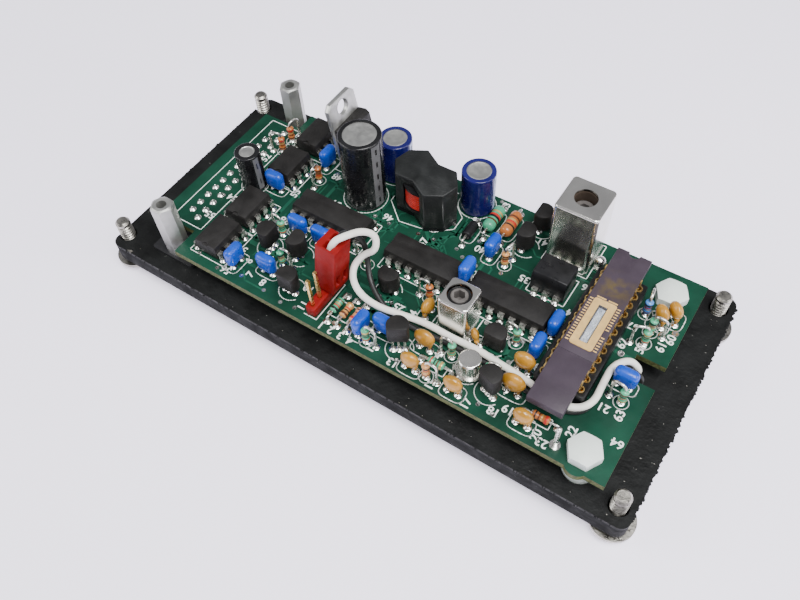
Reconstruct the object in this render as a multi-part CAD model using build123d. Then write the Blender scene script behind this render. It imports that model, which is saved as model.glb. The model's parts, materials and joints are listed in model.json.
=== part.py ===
from build123d import *
import math
import os

# Line-scan image sensor board on a mounting plate. Millimetres, +Z up, X along the long side.
# The origin is the middle of the plate's footprint, at the height of the screw heads it stands on.

# Circuit board and mounting plate
board_length = 118.2
board_width = 53.0
board_thickness = 1.6
plate_thickness = 5.7
plate_margin_left = 9.1
plate_margin_right = 7.0
plate_margin_front = 3.35
plate_margin_back = 4.85
plate_corner_radius = 2.2
plate_edge_radius = 1.9
gasket_thickness = 0.8
board_gap = 4.4

# Shares of a size, and small sizes used inside one shape
shell_corner_share = 0.3
standoff_crown_share = 0.25
standoff_crown_wide = 0.9
standoff_crown_narrow = 0.42
coil_winding_share = 0.55
rounded_share = 0.4
sensor_pin_reach = 1.0
contact_floor = 0.8
transistor_lead_radius = 0.25
metal_tab_length = 1.0
metal_tab_width = 0.9
metal_tab_offset = 2.9
metal_transistor_turn = 17
test_pin_rises = (7.2, 2.4)
test_pin_tips = (0.5, 1.3)
test_pin_radius = 0.5
test_pin_collar_radius = 1.1
test_pin_collar_height = 0.7
plug_slot_share = 0.12
plug_contact_width_share = 0.7
plug_contact_base_share = 0.1

# Corner screws, which stand up out of the plate as studs
stud_radius = 1.75
stud_inset_left = 1.8
stud_inset_right = 3.3
stud_inset_side = 4.1
stud_rise = 5.8
stud_clearance = 0.2
stud_shank_radius = 1.6
screw_head_radius = 3.45
screw_head_height = 2.1
washer_radius = 4.75
washer_thickness = 0.9

# 25-way connector under the left end and the two standoffs that screw it down
connector_inset = 7.4
connector_from_front = 27.25
contact_pitch = 2.77
contact_row_gap = 2.84
contact_radius = 0.5
flange_width = 12.55
flange_length = 53.04
flange_thickness = 0.8
shell_width = 8.36
shell_length = 38.96
shell_wall = 0.5
shell_drop = 5.6
shell_slant = 10.0
cutout_margin = 1.5
standoff_spacing = 47.04
standoff_width = 4.76
standoff_height = 15.5
standoff_thread_radius = 1.2
standoff_thread_depth = 6.0
standoff_notch_length = 11.0
standoff_notch_from_centre = 20.3
standoff_screw_radius = 1.42
standoff_screw_reach = 6.0
standoff_head_radius = 2.6
standoff_head_height = 2.0
standoff_head_recess = 0.4
thread_gap = 0.05

# Plastic bolts at the right end
bolt_inset = 6.05
bolt_from_front = 4.05
bolt_from_back = 6.55
bolt_width = 6.35
bolt_head_height = 2.8
bolt_dome_radius = 8.8
bolt_shank_radius = 2.05
bolt_grip = 4.4
spacer_radius = 3.5

# Notch that the two leads go down through, and the stub of a break-off tab
wire_notch_depth = 6.3
wire_notch_width = 5.9
wire_notch_from_front = 23.65
tab_inset = 6.2
tab_radius = 2.6
tab_proud = 1.0

# Wire leads, which stand on the board's top face where they are soldered
lead_radius = 0.3

# Dual in-line packages
dip_pitch = 2.54
dip_row_spacing = 7.62
dip_body_width = 6.35
dip_body_base = 0.6
dip_body_top = 4.3
dip_split = 2.45
dip_draft = 8.0
dip_lead_thickness = 0.25
dip_lead_wide = 1.4
dip_lead_narrow = 0.5
dip_shoulder_drop = 1.6
dip_notch_radius = 0.9
dip_notch_depth = 0.5
dip8_length = 9.4
dip14_length = 18.9
dip16_length = 19.3

# Ceramic image sensor and its socket
sensor_inset = 16.0
sensor_width = 7.6
sensor_length = 42.0
sensor_thickness = 2.0
sensor_rise = 5.0
sensor_centre_y = -0.6
sensor_notch_radius = 1.2
sensor_step_y = -8.65
sensor_groove = 0.15
lid_width = 4.9
lid_length = 12.6
lid_thickness = 0.18
lid_centre_y = -0.4
slot_width = 1.9
slot_length = 9.8
pocket_depth = 1.0
die_width = 1.4
die_length = 9.2
die_thickness = 0.4
window_thickness = 0.3
sensor_pin_count = 12
sensor_pin_first_y = 14.3
sensor_pin_width = 1.1
sensor_pin_thickness = 0.25
socket_strip_width = 3.0
socket_strip_length = 31.2
socket_centre_y = 0.33
socket_height = 4.0
socket_stand = 0.4
socket_bore_radius = 0.85
contact_ring_wall = 0.2
contact_ring_rise = 0.25

# Screened coils with a tuning core
large_can_width = 10.0
large_can_height = 18.0
large_can_hole = 2.5
large_slug_radius = 2.35
large_slug_length = 6.0
large_slug_recess = 3.0
small_can_width = 7.0
small_can_height = 10.9
small_can_hole = 2.65
small_slug_radius = 1.85
small_slug_length = 5.0
small_slug_recess = 0.3
can_wall = 0.4
can_corner_radius = 1.0
slug_gap = 0.07
slug_hex_width = 2.2
slug_hex_depth = 2.5
former_wall = 0.55
former_base_thickness = 1.5
coil_winding_depth = 0.45

# Six-legged transformer module
transformer_width = 8.0
transformer_depth = 6.4
transformer_height = 5.8
transformer_chamfer = 1.4
transformer_lead_z = 1.5

# Cup-core inductor
inductor_height = 12.0
inductor_base_height = 1.0
inductor_plate_thickness = 2.2
inductor_window_radius = 5.3
inductor_post_radius = 2.6
inductor_gap = 0.1
inductor_bobbin_wall = 0.5
inductor_winding_radius = 4.9

# Upright cylindrical capacitors
sleeve_thickness = 0.2
sleeve_lip = 1.1
bung_height = 0.6
bung_inset = 0.9

# Leaning power regulator
regulator_lean = 10.5
regulator_width = 10.0
regulator_tab_thickness = 1.3
regulator_body_thickness = 3.2
regulator_body_start = 3.9
regulator_body_height = 9.2
regulator_height = 19.3
regulator_hole_height = 16.5
regulator_hole_radius = 1.9
regulator_lead_width = 0.9
regulator_lead_thickness = 0.5
regulator_foot_height = 0.8

# Small plastic and metal transistors
transistor_radius = 2.35
transistor_height = 4.6
transistor_flat = 1.35
transistor_pitch = 1.27
metal_can_radius = 2.35
metal_can_height = 4.9
metal_flange_radius = 2.75
metal_flange_thickness = 0.5
metal_base_rise = 0.6

# Small two-legged parts
blue_cap_length = 5.0
blue_cap_thickness = 2.5
blue_cap_height = 5.0
blue_cap_rise = 0.8
bead_thickness = 2.6
resistor_radius = 0.9
resistor_length = 3.8
resistor_waist_radius = 0.75
resistor_cap_length = 0.8
standing_rise = 0.9
standing_loop = 1.3
choke_radius = 1.5
choke_length = 7.0
diode_radius = 1.2
diode_length = 4.4

# Pin header and the plug on it
header_pitch = 2.54
header_count = 4
header_height = 2.5
pin_width = 0.64
pin_rise = 11.0
bent_pin_start = 0.35
plug_width = 5.1
plug_depth = 5.6
plug_height = 13.3
plug_lift = 0.6
plug_lean_right = 5.0
plug_lean_back = 5.5
cavity_width = 2.1
plug_contact_thickness = 0.25
plug_contact_length = 7.0

# Leads between the plug and the notch
white_lead_diameter = 1.5
black_lead_diameter = 1.2

# Heights that follow from the stack
plate_length = plate_margin_left + board_length + plate_margin_right
plate_width = plate_margin_front + board_width + plate_margin_back
plate_bottom = screw_head_height + washer_thickness
plate_top = plate_bottom + plate_thickness
gasket_top = plate_top + gasket_thickness
board_bottom = gasket_top + board_gap
board_top = board_bottom + board_thickness
flange_top = gasket_top + flange_thickness
stud_top = plate_top + stud_rise

# Edges and datum points in plan
board_left = -plate_length / 2 + plate_margin_left
board_right = board_left + board_length
board_front = -plate_width / 2 + plate_margin_front
board_back = board_front + board_width
connector_x = board_left + connector_inset
connector_y = board_front + connector_from_front

MIDDLE = (Align.CENTER, Align.CENTER, Align.MIN)


def main_part(x, y):
    """Place of a part that is measured from the connector's centre."""
    return connector_x + x, connector_y + y


def end_part(inset, y):
    """Place of a part that is measured from the board's right edge."""
    return board_right - inset, connector_y + y


def block(size_x, size_y, size_z, x, y, z):
    return Pos(x, y, z) * Box(size_x, size_y, size_z, align=MIDDLE)


def rod(radius, length, x, y, z):
    return Pos(x, y, z) * Cylinder(radius, length, align=MIDDLE)


def tube(outer, inner, length, x, y, z):
    return rod(outer, length, x, y, z) - rod(inner, length, x, y, z)


def hexagon(width, height, x, y, z):
    outline = RegularPolygon(width / 2, 6, major_radius=False)
    return Pos(x, y, z) * extrude(outline, height)


def save(name, pieces):
    """Writes one node, whose pieces stay separate solids."""
    solids = [solid for piece in pieces for solid in piece.solids()]
    export_step(Compound(solids), f"parts/{name}.step")


def straight_lead(x, y, top, radius=lead_radius):
    """A round lead from the board up to the given height."""
    return rod(radius, top - board_top, x, y, board_top)


def bent_lead(points, bend=0.5):
    """A round lead along a route of points."""
    path = FilletPolyline(*points, radius=bend)
    section = Plane(origin=path @ 0, z_dir=path % 0) * Circle(lead_radius)
    return sweep(section, path)


def stud_places():
    left = -plate_length / 2 + stud_inset_left
    right = plate_length / 2 - stud_inset_right
    side = plate_width / 2 - stud_inset_side
    return [(x, y) for x in (left, right) for y in (-side, side)]


def bolt_places():
    x = board_right - bolt_inset
    return [(x, board_front + bolt_from_front), (x, board_back - bolt_from_back)]


def standoff_places():
    return [(connector_x, connector_y + side * standoff_spacing / 2) for side in (-1, 1)]


def shell_outline(width, length):
    """The connector's D outline, long side towards +X."""
    rise = width * math.tan(math.radians(shell_slant))
    corners = [
        (width / 2, -length / 2),
        (width / 2, length / 2),
        (-width / 2, length / 2 - rise),
        (-width / 2, -length / 2 + rise),
    ]
    outline = Polygon(*corners, align=None)
    return fillet(outline.vertices(), width * shell_corner_share)


def contact_places():
    """Thirteen contacts in the right row and twelve in the left."""
    places = []
    for side, count in ((1, 13), (-1, 12)):
        for i in range(count):
            y = (i - (count - 1) / 2) * contact_pitch
            places.append((connector_x + side * contact_row_gap / 2, connector_y + y))
    return places


def base_plate():
    plate = block(plate_length, plate_width, plate_thickness, 0, 0, plate_bottom)
    plate = fillet(plate.edges().filter_by(Axis.Z), plate_corner_radius)
    plate = fillet(plate.faces().sort_by(Axis.Z)[0].edges(), plate_edge_radius)
    cutout = Pos(connector_x, connector_y, plate_bottom) * Box(
        shell_width + 2 * cutout_margin, shell_length + 2 * cutout_margin, plate_thickness, align=MIDDLE
    )
    plate -= fillet(cutout.edges().filter_by(Axis.Z), cutout_margin)
    for x, y in stud_places():
        plate -= rod(stud_radius + stud_clearance, plate_thickness, x, y, plate_bottom)
    for x, y in standoff_places():
        plate -= rod(standoff_screw_radius + stud_clearance, plate_thickness, x, y, plate_bottom)
        depth = standoff_head_recess + standoff_head_height
        plate -= rod(standoff_head_radius + stud_clearance, depth, x, y, plate_bottom)
    for x, y in bolt_places():
        depth = bolt_grip + thread_gap
        plate -= rod(bolt_shank_radius + thread_gap, depth, x, y, plate_top - depth)
    return [plate]


def gasket_sheet():
    sheet = block(plate_length, plate_width, gasket_thickness, 0, 0, plate_top)
    sheet = fillet(sheet.edges().filter_by(Axis.Z), plate_corner_radius)
    opening = Pos(connector_x, connector_y, plate_top) * Box(
        shell_width + 2 * cutout_margin, shell_length + 2 * cutout_margin, gasket_thickness, align=MIDDLE
    )
    sheet -= fillet(opening.edges().filter_by(Axis.Z), cutout_margin)
    for x, y in stud_places():
        sheet -= rod(stud_radius + 2 * stud_clearance, gasket_thickness, x, y, plate_top)
    for x, y in standoff_places():
        sheet -= rod(standoff_screw_radius + stud_clearance, gasket_thickness, x, y, plate_top)
    for x, y in bolt_places():
        sheet -= rod(spacer_radius + stud_clearance, gasket_thickness, x, y, plate_top)
    return [sheet]


def corner_screws():
    """Screws whose shank is thinner than the rolled thread that stands out above the gasket."""
    screws = []
    for x, y in stud_places():
        head = rod(screw_head_radius, screw_head_height, x, y, 0)
        head = fillet(head.faces().sort_by(Axis.Z)[0].edges(), screw_head_height / 3)
        head -= hexagon(screw_head_radius, screw_head_height / 2, x, y, 0)
        shank = rod(stud_shank_radius, gasket_top - screw_head_height, x, y, screw_head_height)
        thread = rod(stud_radius, stud_top - gasket_top, x, y, gasket_top)
        thread = chamfer(thread.faces().sort_by(Axis.Z)[-1].edges(), stud_radius / 4)
        screws.append(head + shank + thread)
    return screws


def corner_washers():
    hole = stud_radius + stud_clearance
    return [
        tube(washer_radius, hole, washer_thickness, x, y, screw_head_height) for x, y in stud_places()
    ]


def hex_standoffs():
    posts = []
    for x, y in standoff_places():
        post = hexagon(standoff_width, standoff_height, x, y, flange_top)
        crown = standoff_width * standoff_crown_share
        wide, narrow = standoff_width * standoff_crown_wide, standoff_width * standoff_crown_narrow
        cap = Cone(wide, narrow, crown, align=(Align.CENTER, Align.CENTER, Align.MAX))
        keep = rod(standoff_width, standoff_height - crown, x, y, flange_top)
        keep += Pos(x, y, flange_top + standoff_height) * cap
        post = post & keep
        top = flange_top + standoff_height - standoff_thread_depth
        post -= rod(standoff_thread_radius, standoff_thread_depth, x, y, top)
        bore_depth = standoff_screw_reach + thread_gap
        post -= rod(standoff_screw_radius + thread_gap, bore_depth, x, y, flange_top)
        posts.append(post)
    return posts


def standoff_screws():
    screws = []
    for x, y in standoff_places():
        head_base = plate_bottom + standoff_head_recess
        head = rod(standoff_head_radius, standoff_head_height, x, y, head_base)
        head -= hexagon(standoff_head_radius, standoff_head_height / 2, x, y, head_base)
        shank_base = head_base + standoff_head_height
        shank = rod(standoff_screw_radius, flange_top + standoff_screw_reach - shank_base, x, y, shank_base)
        screws.append(head + shank)
    return screws


def plastic_bolts():
    bolts = []
    for x, y in bolt_places():
        head = hexagon(bolt_width, bolt_head_height, x, y, board_top)
        dome = Pos(x, y, board_top + bolt_head_height - bolt_dome_radius) * Sphere(bolt_dome_radius)
        start = plate_top - bolt_grip
        shank = rod(bolt_shank_radius, board_top - start, x, y, start)
        bolts.append((head & dome) + shank)
    return bolts


def plastic_spacers():
    hole = bolt_shank_radius + stud_clearance
    height = board_bottom - plate_top
    return [tube(spacer_radius, hole, height, x, y, plate_top) for x, y in bolt_places()]


def circuit_board():
    """The bare board, with its notches, its break-off stub and the holes for the plastic bolts."""
    centre = ((board_left + board_right) / 2, (board_front + board_back) / 2)
    outline = Pos(*centre) * Rectangle(board_length, board_width)
    outline += Pos(board_right - tab_inset, board_front + tab_radius - tab_proud) * Circle(tab_radius)
    notch_x = board_left + standoff_notch_length / 2
    for side, edge in ((-1, board_front), (1, board_back)):
        inner = connector_y + side * standoff_notch_from_centre
        depth = abs(edge - inner)
        outline -= Pos(notch_x, (edge + inner) / 2) * Rectangle(standoff_notch_length, depth)
    notch_y = board_front + wire_notch_from_front + wire_notch_width / 2
    outline -= Pos(board_right - wire_notch_depth / 2, notch_y) * Rectangle(wire_notch_depth, wire_notch_width)
    for x, y in bolt_places():
        outline -= Pos(x, y) * Circle(bolt_shank_radius + stud_clearance)
    return [Pos(0, 0, board_bottom) * extrude(outline, board_thickness, dir=(0, 0, 1))]


def connector_shell():
    flange = block(flange_width, flange_length, flange_thickness, connector_x, connector_y, gasket_top)
    flange = fillet(flange.edges().filter_by(Axis.Z), flange_thickness)
    for x, y in standoff_places():
        flange -= rod(standoff_screw_radius + stud_clearance, flange_thickness, x, y, gasket_top)
    outer = extrude(shell_outline(shell_width, shell_length), shell_drop + flange_thickness)
    inner = extrude(
        shell_outline(shell_width - 2 * shell_wall, shell_length - 2 * shell_wall), shell_drop + flange_thickness
    )
    place = Pos(connector_x, connector_y, gasket_top - shell_drop)
    return [(flange + place * outer) - place * inner]


def connector_insulator():
    gap = shell_wall + thread_gap
    core = extrude(
        shell_outline(shell_width - 2 * gap, shell_length - 2 * gap), shell_drop + flange_thickness - shell_wall
    )
    core = Pos(connector_x, connector_y, gasket_top - shell_drop + shell_wall) * core
    block_width = flange_width - 4 * shell_wall
    top = block(block_width, shell_length, board_bottom - flange_top, connector_x, connector_y, flange_top)
    body = core + top
    for x, y in contact_places():
        body -= rod(contact_radius + thread_gap, board_top, x, y, 0)
    return [body]


def connector_contacts():
    contacts = []
    start = gasket_top - shell_drop + 2 * shell_wall
    for x, y in contact_places():
        contacts.append(rod(contact_radius, board_bottom - start, x, y, start))
    return contacts


def dip_body(length, x, y, along_y=False):
    """Moulded package with drafted sides and the half-round notch at its end."""
    middle = Rectangle(length, dip_body_width)
    upper = extrude(middle, dip_body_top - dip_split, taper=dip_draft)
    lower = extrude(middle, -(dip_split - dip_body_base), taper=dip_draft)
    body = upper + lower
    notch_z = dip_body_top - dip_split - dip_notch_depth
    body -= Pos(-length / 2, 0, notch_z) * Cylinder(dip_notch_radius, 2 * dip_notch_depth, align=MIDDLE)
    return Pos(x, y, board_top + dip_split) * Rot(0, 0, 90 if along_y else 0) * body


def flat_lead(reach, shoulder_z):
    """One stamped lead: a shoulder out of the body, a wide leg and a narrow tip."""
    shoulder = Pos(-reach / 2, 0, shoulder_z) * Box(reach, dip_lead_wide, dip_lead_thickness)
    leg_top = shoulder_z + dip_lead_thickness / 2
    leg = Pos(0, 0, leg_top - dip_shoulder_drop) * Box(
        dip_lead_thickness, dip_lead_wide, dip_shoulder_drop, align=MIDDLE
    )
    tip = Box(dip_lead_thickness, dip_lead_narrow, leg_top - dip_shoulder_drop, align=MIDDLE)
    return shoulder + leg + tip


def lead_rows(count, pitch, row_spacing, body_width, shoulder_z, x, y, along_y=False):
    """Both rows of stamped leads of one package."""
    reach = (row_spacing - body_width) / 2
    lead = flat_lead(reach, shoulder_z)
    leads = []
    for side in (-1, 1):
        for i in range(count // 2):
            along = (i - (count / 2 - 1) / 2) * pitch
            across = side * row_spacing / 2
            px, py = (x + across, y + along) if along_y else (x + along, y + across)
            turn = (0 if side > 0 else 180) + (0 if along_y else 90)
            leads.append(Pos(px, py, board_top) * Rot(0, 0, turn) * lead)
    return leads


small_amplifiers = [main_part(11.5, y) for y in (-19.7, -9.05, 6.75, 18.2)]
logic_packages = [
    (main_part(30.6, -1.3), 16, dip16_length),
    (main_part(56.2, -1.45), 14, dip14_length),
    (main_part(76.8, -1.4), 14, dip14_length),
]
sensor_x, sensor_y = end_part(sensor_inset, sensor_centre_y)
ceramic_base = board_top + sensor_rise
ceramic_top = ceramic_base + sensor_thickness
lid_y = connector_y + lid_centre_y


def sensor_body():
    body = block(sensor_width, sensor_length, sensor_thickness, sensor_x, sensor_y, ceramic_base)
    end_y = sensor_y + sensor_length / 2
    body -= rod(sensor_notch_radius, sensor_thickness, sensor_x, end_y, ceramic_base)
    step_y = connector_y + sensor_step_y
    body -= block(sensor_width, sensor_groove, sensor_groove, sensor_x, step_y, ceramic_top - sensor_groove)
    body -= block(slot_width, slot_length, pocket_depth, sensor_x, lid_y, ceramic_top - pocket_depth)
    return [body]


def sensor_lid():
    lid = block(lid_width, lid_length, lid_thickness, sensor_x, lid_y, ceramic_top)
    lid = fillet(lid.edges().filter_by(Axis.Z), lid_width / 8)
    lid -= block(slot_width, slot_length, lid_thickness, sensor_x, lid_y, ceramic_top)
    return [lid]


def sensor_window():
    base = ceramic_top - window_thickness
    return [
        block(slot_width - thread_gap, slot_length - thread_gap, window_thickness, sensor_x, lid_y, base)
    ]


def sensor_die():
    base = ceramic_top - pocket_depth
    return [block(die_width, die_length, die_thickness, sensor_x, lid_y, base)]


def sensor_pin_places():
    places = []
    for side in (-1, 1):
        for i in range(sensor_pin_count):
            y = connector_y + sensor_pin_first_y - i * dip_pitch
            places.append((side, sensor_x + side * (sensor_width / 2 + sensor_pin_thickness / 2), y))
    return places


def sensor_pins():
    """Side-brazed pins: a pad on the ceramic's side and a narrow leg down into the socket."""
    pins = []
    for _, x, y in sensor_pin_places():
        pad = block(sensor_pin_thickness, sensor_pin_width, sensor_thickness, x, y, ceramic_base)
        leg_base = board_top + socket_stand + sensor_pin_reach
        leg = block(sensor_pin_thickness, dip_lead_narrow, ceramic_base - leg_base, x, y, leg_base)
        pins.append(pad + leg)
    return pins


def sensor_socket():
    """Two strips, each with a row of bores for the turned contacts."""
    strips = []
    for side in (-1, 1):
        x = sensor_x + side * (sensor_width / 2 + sensor_pin_thickness / 2)
        y = connector_y + socket_centre_y
        strip = block(socket_strip_width, socket_strip_length, socket_height, x, y, board_top + socket_stand)
        strip = chamfer(strip.edges().filter_by(Axis.Z), socket_strip_width / 8)
        for row, px, py in sensor_pin_places():
            if row == side:
                strip -= rod(socket_bore_radius, socket_height, px, py, board_top + socket_stand)
        strips.append(strip)
    return strips


def socket_contacts():
    """Turned contacts: a cup that stands just proud of the strip and a tail through the board."""
    contacts = []
    cup_radius = socket_bore_radius - thread_gap
    for _, x, y in sensor_pin_places():
        base = board_top + socket_stand
        height = socket_height + contact_ring_rise
        cup = rod(cup_radius, height, x, y, base)
        cup -= rod(cup_radius - contact_ring_wall, height - contact_floor, x, y, base + contact_floor)
        tail = straight_lead(x, y, base, lead_radius)
        contacts.append(cup + tail)
    return contacts


large_coil_x, large_coil_y = main_part(82.0, 19.6)
small_coil_x, small_coil_y = main_part(69.7, -10.35)


def coil_can(width, height, hole, x, y):
    can = block(width, width, height, x, y, board_top)
    can = fillet(can.edges().filter_by(Axis.Z), can_corner_radius)
    can = fillet(can.faces().sort_by(Axis.Z)[-1].edges(), can_corner_radius / 2)
    can -= block(width - 2 * can_wall, width - 2 * can_wall, height - can_wall, x, y, board_top)
    can -= rod(hole, height, x, y, board_top)
    return [can]


def coil_former(width, height, slug_radius, x, y):
    inner = slug_radius + slug_gap
    side = width - 2 * can_wall - 4 * slug_gap
    base = block(side, side, former_base_thickness, x, y, board_top)
    sleeve = rod(inner + former_wall, height - 2 * can_wall, x, y, board_top)
    return [(base + sleeve) - rod(inner, height, x, y, board_top)]


def coil_winding(height, slug_radius, x, y):
    inner = slug_radius + slug_gap + former_wall + thread_gap
    start = board_top + former_base_thickness + thread_gap
    return [tube(inner + coil_winding_depth, inner, height * coil_winding_share, x, y, start)]


def tuning_slug(height, recess, radius, length, x, y):
    """Threaded ferrite core with a hexagon socket in its top."""
    top = board_top + height - recess
    slug = rod(radius, length, x, y, top - length)
    slug = chamfer(slug.faces().sort_by(Axis.Z)[-1].edges(), radius / 8)
    return [slug - hexagon(slug_hex_width, slug_hex_depth, x, y, top - slug_hex_depth)]


transformer_x, transformer_y = main_part(82.0, 8.9)


def transformer_module():
    body = block(transformer_width, transformer_depth, transformer_height, transformer_x, transformer_y, board_top)
    top_edges = body.edges().filter_by(Axis.X).group_by(Axis.Z)[-1]
    return [chamfer(top_edges.sort_by(Axis.Y)[0], transformer_chamfer, transformer_chamfer / 2)]


def transformer_leads():
    rows = dip_row_spacing
    return lead_rows(6, dip_pitch, rows, transformer_depth, transformer_lead_z, transformer_x, transformer_y)


inductor_x, inductor_y = main_part(46.6, 13.9)
inductor_outline = [(-8.35, 0.1), (-7.1, 4.25), (-3.2, 6.35), (1.15, 3.7), (5.9, 3.75)]


def inductor_prism(height, z):
    """The core's outline is the same when it is turned half way round."""
    corners = inductor_outline + [(-x, -y) for x, y in inductor_outline]
    face = Polygon(*corners, align=None)
    return Pos(inductor_x, inductor_y, z) * extrude(face, height, dir=(0, 0, 1))


def inductor_core():
    """Two equal halves that meet at mid height round the winding."""
    bottom = board_top + inductor_base_height
    height = inductor_height - inductor_base_height
    half = height / 2
    window = half - inductor_plate_thickness
    halves = []
    for base, window_base in ((bottom, bottom + half - window), (bottom + half, bottom + half)):
        piece = inductor_prism(half, base)
        ring = tube(inductor_window_radius, inductor_post_radius, window, inductor_x, inductor_y, window_base)
        halves.append(piece - ring)
    return halves


def inductor_window():
    """Lowest height and height of the space for the bobbin."""
    low = board_top + inductor_base_height + inductor_plate_thickness
    return low, inductor_height - inductor_base_height - 2 * inductor_plate_thickness


def inductor_bobbin():
    low, height = inductor_window()
    wall = inductor_bobbin_wall
    inner = inductor_post_radius + inductor_gap
    outer = inductor_window_radius - inductor_gap
    spool = rod(inner + wall, height - 2 * inductor_gap, inductor_x, inductor_y, low + inductor_gap)
    for z in (low + inductor_gap, low + height - inductor_gap - wall):
        spool += rod(outer, wall, inductor_x, inductor_y, z)
    spool -= rod(inner, height, inductor_x, inductor_y, low)
    base = inductor_prism(inductor_base_height, board_top)
    return [spool, base]


def inductor_winding():
    low, height = inductor_window()
    inner = inductor_post_radius + 2 * inductor_gap + inductor_bobbin_wall
    trim = 2 * inductor_gap + inductor_bobbin_wall
    return [tube(inductor_winding_radius, inner, height - 2 * trim, inductor_x, inductor_y, low + trim)]


black_capacitors = [
    (main_part(32.1, 9.7), 5.0, 20.0),
    (main_part(6.4, -1.0), 3.0, 11.0),
]
blue_capacitors = [
    (main_part(34.2, 20.2), 4.0, 11.5),
    (main_part(56.3, 21.0), 4.0, 11.5),
]


def capacitor_sleeves(group):
    """Shrunk sleeves, each turned in over the rim of its can."""
    sleeves = []
    for (x, y), radius, height in group:
        inner = radius - sleeve_thickness
        sleeve = rod(radius, height - bung_height / 2, x, y, board_top + bung_height / 2)
        sleeve = fillet(sleeve.faces().sort_by(Axis.Z)[-1].edges(), radius / 12)
        cavity = height - bung_height / 2 - sleeve_thickness
        sleeve -= rod(inner, cavity, x, y, board_top + bung_height / 2)
        sleeve -= rod(radius - sleeve_lip, height, x, y, board_top)
        sleeves.append(sleeve)
    return sleeves


def capacitor_cans():
    cans = []
    for (x, y), radius, height in black_capacitors + blue_capacitors:
        can_height = height - sleeve_thickness - bung_height
        cans.append(rod(radius - sleeve_thickness - thread_gap, can_height, x, y, board_top + bung_height))
    return cans


def capacitor_bungs():
    return [
        rod(radius - bung_inset, bung_height, x, y, board_top)
        for (x, y), radius, _ in black_capacitors + blue_capacitors
    ]


regulator_x, regulator_y = main_part(25.3, 18.7)
regulator_place = Pos(regulator_x, regulator_y, board_top) * Rot(0, -regulator_lean, 0)


def regulator_body():
    body = block(
        regulator_body_thickness, regulator_width, regulator_body_height, 0, 0, regulator_body_start
    )
    top_front = body.edges().filter_by(Axis.Y).group_by(Axis.Z)[-1].sort_by(Axis.X)[-1]
    return [regulator_place * chamfer(top_front, regulator_body_thickness / 4)]


def regulator_tab():
    x = -(regulator_body_thickness + regulator_tab_thickness) / 2
    height = regulator_height - regulator_body_start
    tab = block(regulator_tab_thickness, regulator_width, height, x, 0, regulator_body_start)
    corners = tab.edges().filter_by(Axis.X).group_by(Axis.Z)[-1]
    tab = chamfer(corners, regulator_width / 8)
    hole = Rot(0, 90, 0) * Cylinder(regulator_hole_radius, regulator_width)
    hole = Pos(x, 0, regulator_hole_height) * hole
    return [regulator_place * (tab - hole)]


def regulator_leads():
    """Each lead leaves the leaning body and turns straight down at the board."""
    leads = []
    for i in (-1, 0, 1):
        y = i * dip_pitch
        upper = block(regulator_lead_thickness, regulator_lead_width, regulator_body_start, 0, y, 0)
        tilted = regulator_place * upper
        foot = block(
            regulator_lead_width, regulator_lead_width, regulator_foot_height, regulator_x, regulator_y + y, board_top
        )
        below = block(regulator_width, regulator_width, board_top, regulator_x, regulator_y, 0)
        leads.append(tilted + foot - below)
    return leads


# Place, height of the body above the board and the direction its flat faces
plastic_transistors = [
    (main_part(22.6, -14.8), 2.6, 0),
    (main_part(29.3, -13.3), 2.2, 180),
    (main_part(33.8, -22.2), 1.8, 270),
    (main_part(52.3, -10.4), 1.6, 90),
    (main_part(62.4, -22.2), 4.8, 300),
    (main_part(83.2, -21.4), 3.2, 250),
    (main_part(72.4, 22.3), 1.6, 180),
    (main_part(71.6, 15.4), 1.6, 180),
    (main_part(78.8, -11.2), 0.9, 270),
]
metal_transistor_x, metal_transistor_y = main_part(77.5, -19.4)


def transistor_bodies():
    bodies = []
    for (x, y), rise, turn in plastic_transistors:
        body = rod(transistor_radius, transistor_height, 0, 0, 0)
        side = transistor_flat + transistor_radius / 2
        body -= block(transistor_radius, 4 * transistor_radius, transistor_height, side, 0, 0)
        bodies.append(Pos(x, y, board_top + rise) * Rot(0, 0, turn) * body)
    return bodies


def transistor_leads():
    leads = []
    for (x, y), rise, turn in plastic_transistors:
        for i in (-1, 0, 1):
            dx = -math.sin(math.radians(turn)) * i * transistor_pitch
            dy = math.cos(math.radians(turn)) * i * transistor_pitch
            leads.append(straight_lead(x + dx, y + dy, board_top + rise, transistor_lead_radius))
    return leads


def metal_transistor_header():
    base = board_top + metal_base_rise
    header = rod(metal_flange_radius, metal_flange_thickness, metal_transistor_x, metal_transistor_y, base)
    tab = block(metal_tab_length, metal_tab_width, metal_flange_thickness, metal_tab_offset, 0, 0)
    turned = Rot(0, 0, metal_transistor_turn + 180) * tab
    pieces = header + Pos(metal_transistor_x, metal_transistor_y, base) * turned
    for turn in (0, 90, 270):
        angle = math.radians(metal_transistor_turn + turn)
        x = metal_transistor_x + transistor_pitch * math.cos(angle)
        y = metal_transistor_y + transistor_pitch * math.sin(angle)
        pieces += straight_lead(x, y, base, transistor_lead_radius)
    return [pieces]


def metal_transistor_can():
    base = board_top + metal_base_rise + metal_flange_thickness
    height = metal_can_height - metal_flange_thickness
    can = rod(metal_can_radius, height, metal_transistor_x, metal_transistor_y, base)
    return [fillet(can.faces().sort_by(Axis.Z)[-1].edges(), metal_can_radius / 6)]


# Dipped ceramic capacitors: place, and whether the long side runs along Y
blue_chips = [
    (main_part(18.5, -22.4), True),
    (main_part(18.4, 13.4), True),
    (main_part(53.2, -22.6), True),
    (main_part(66.6, 9.6), True),
    (main_part(87.7, -1.6), True),
    (main_part(87.0, -8.4), True),
    (main_part(26.3, -20.6), False),
    (main_part(12.1, 0.4), False),
    (main_part(25.4, -7.9), False),
    (main_part(32.0, -7.9), False),
    (main_part(57.6, -20.4), False),
    (end_part(5.8, -5.9), False),
]
raised_chip = (main_part(66.4, -1.5), 4.5)

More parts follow.
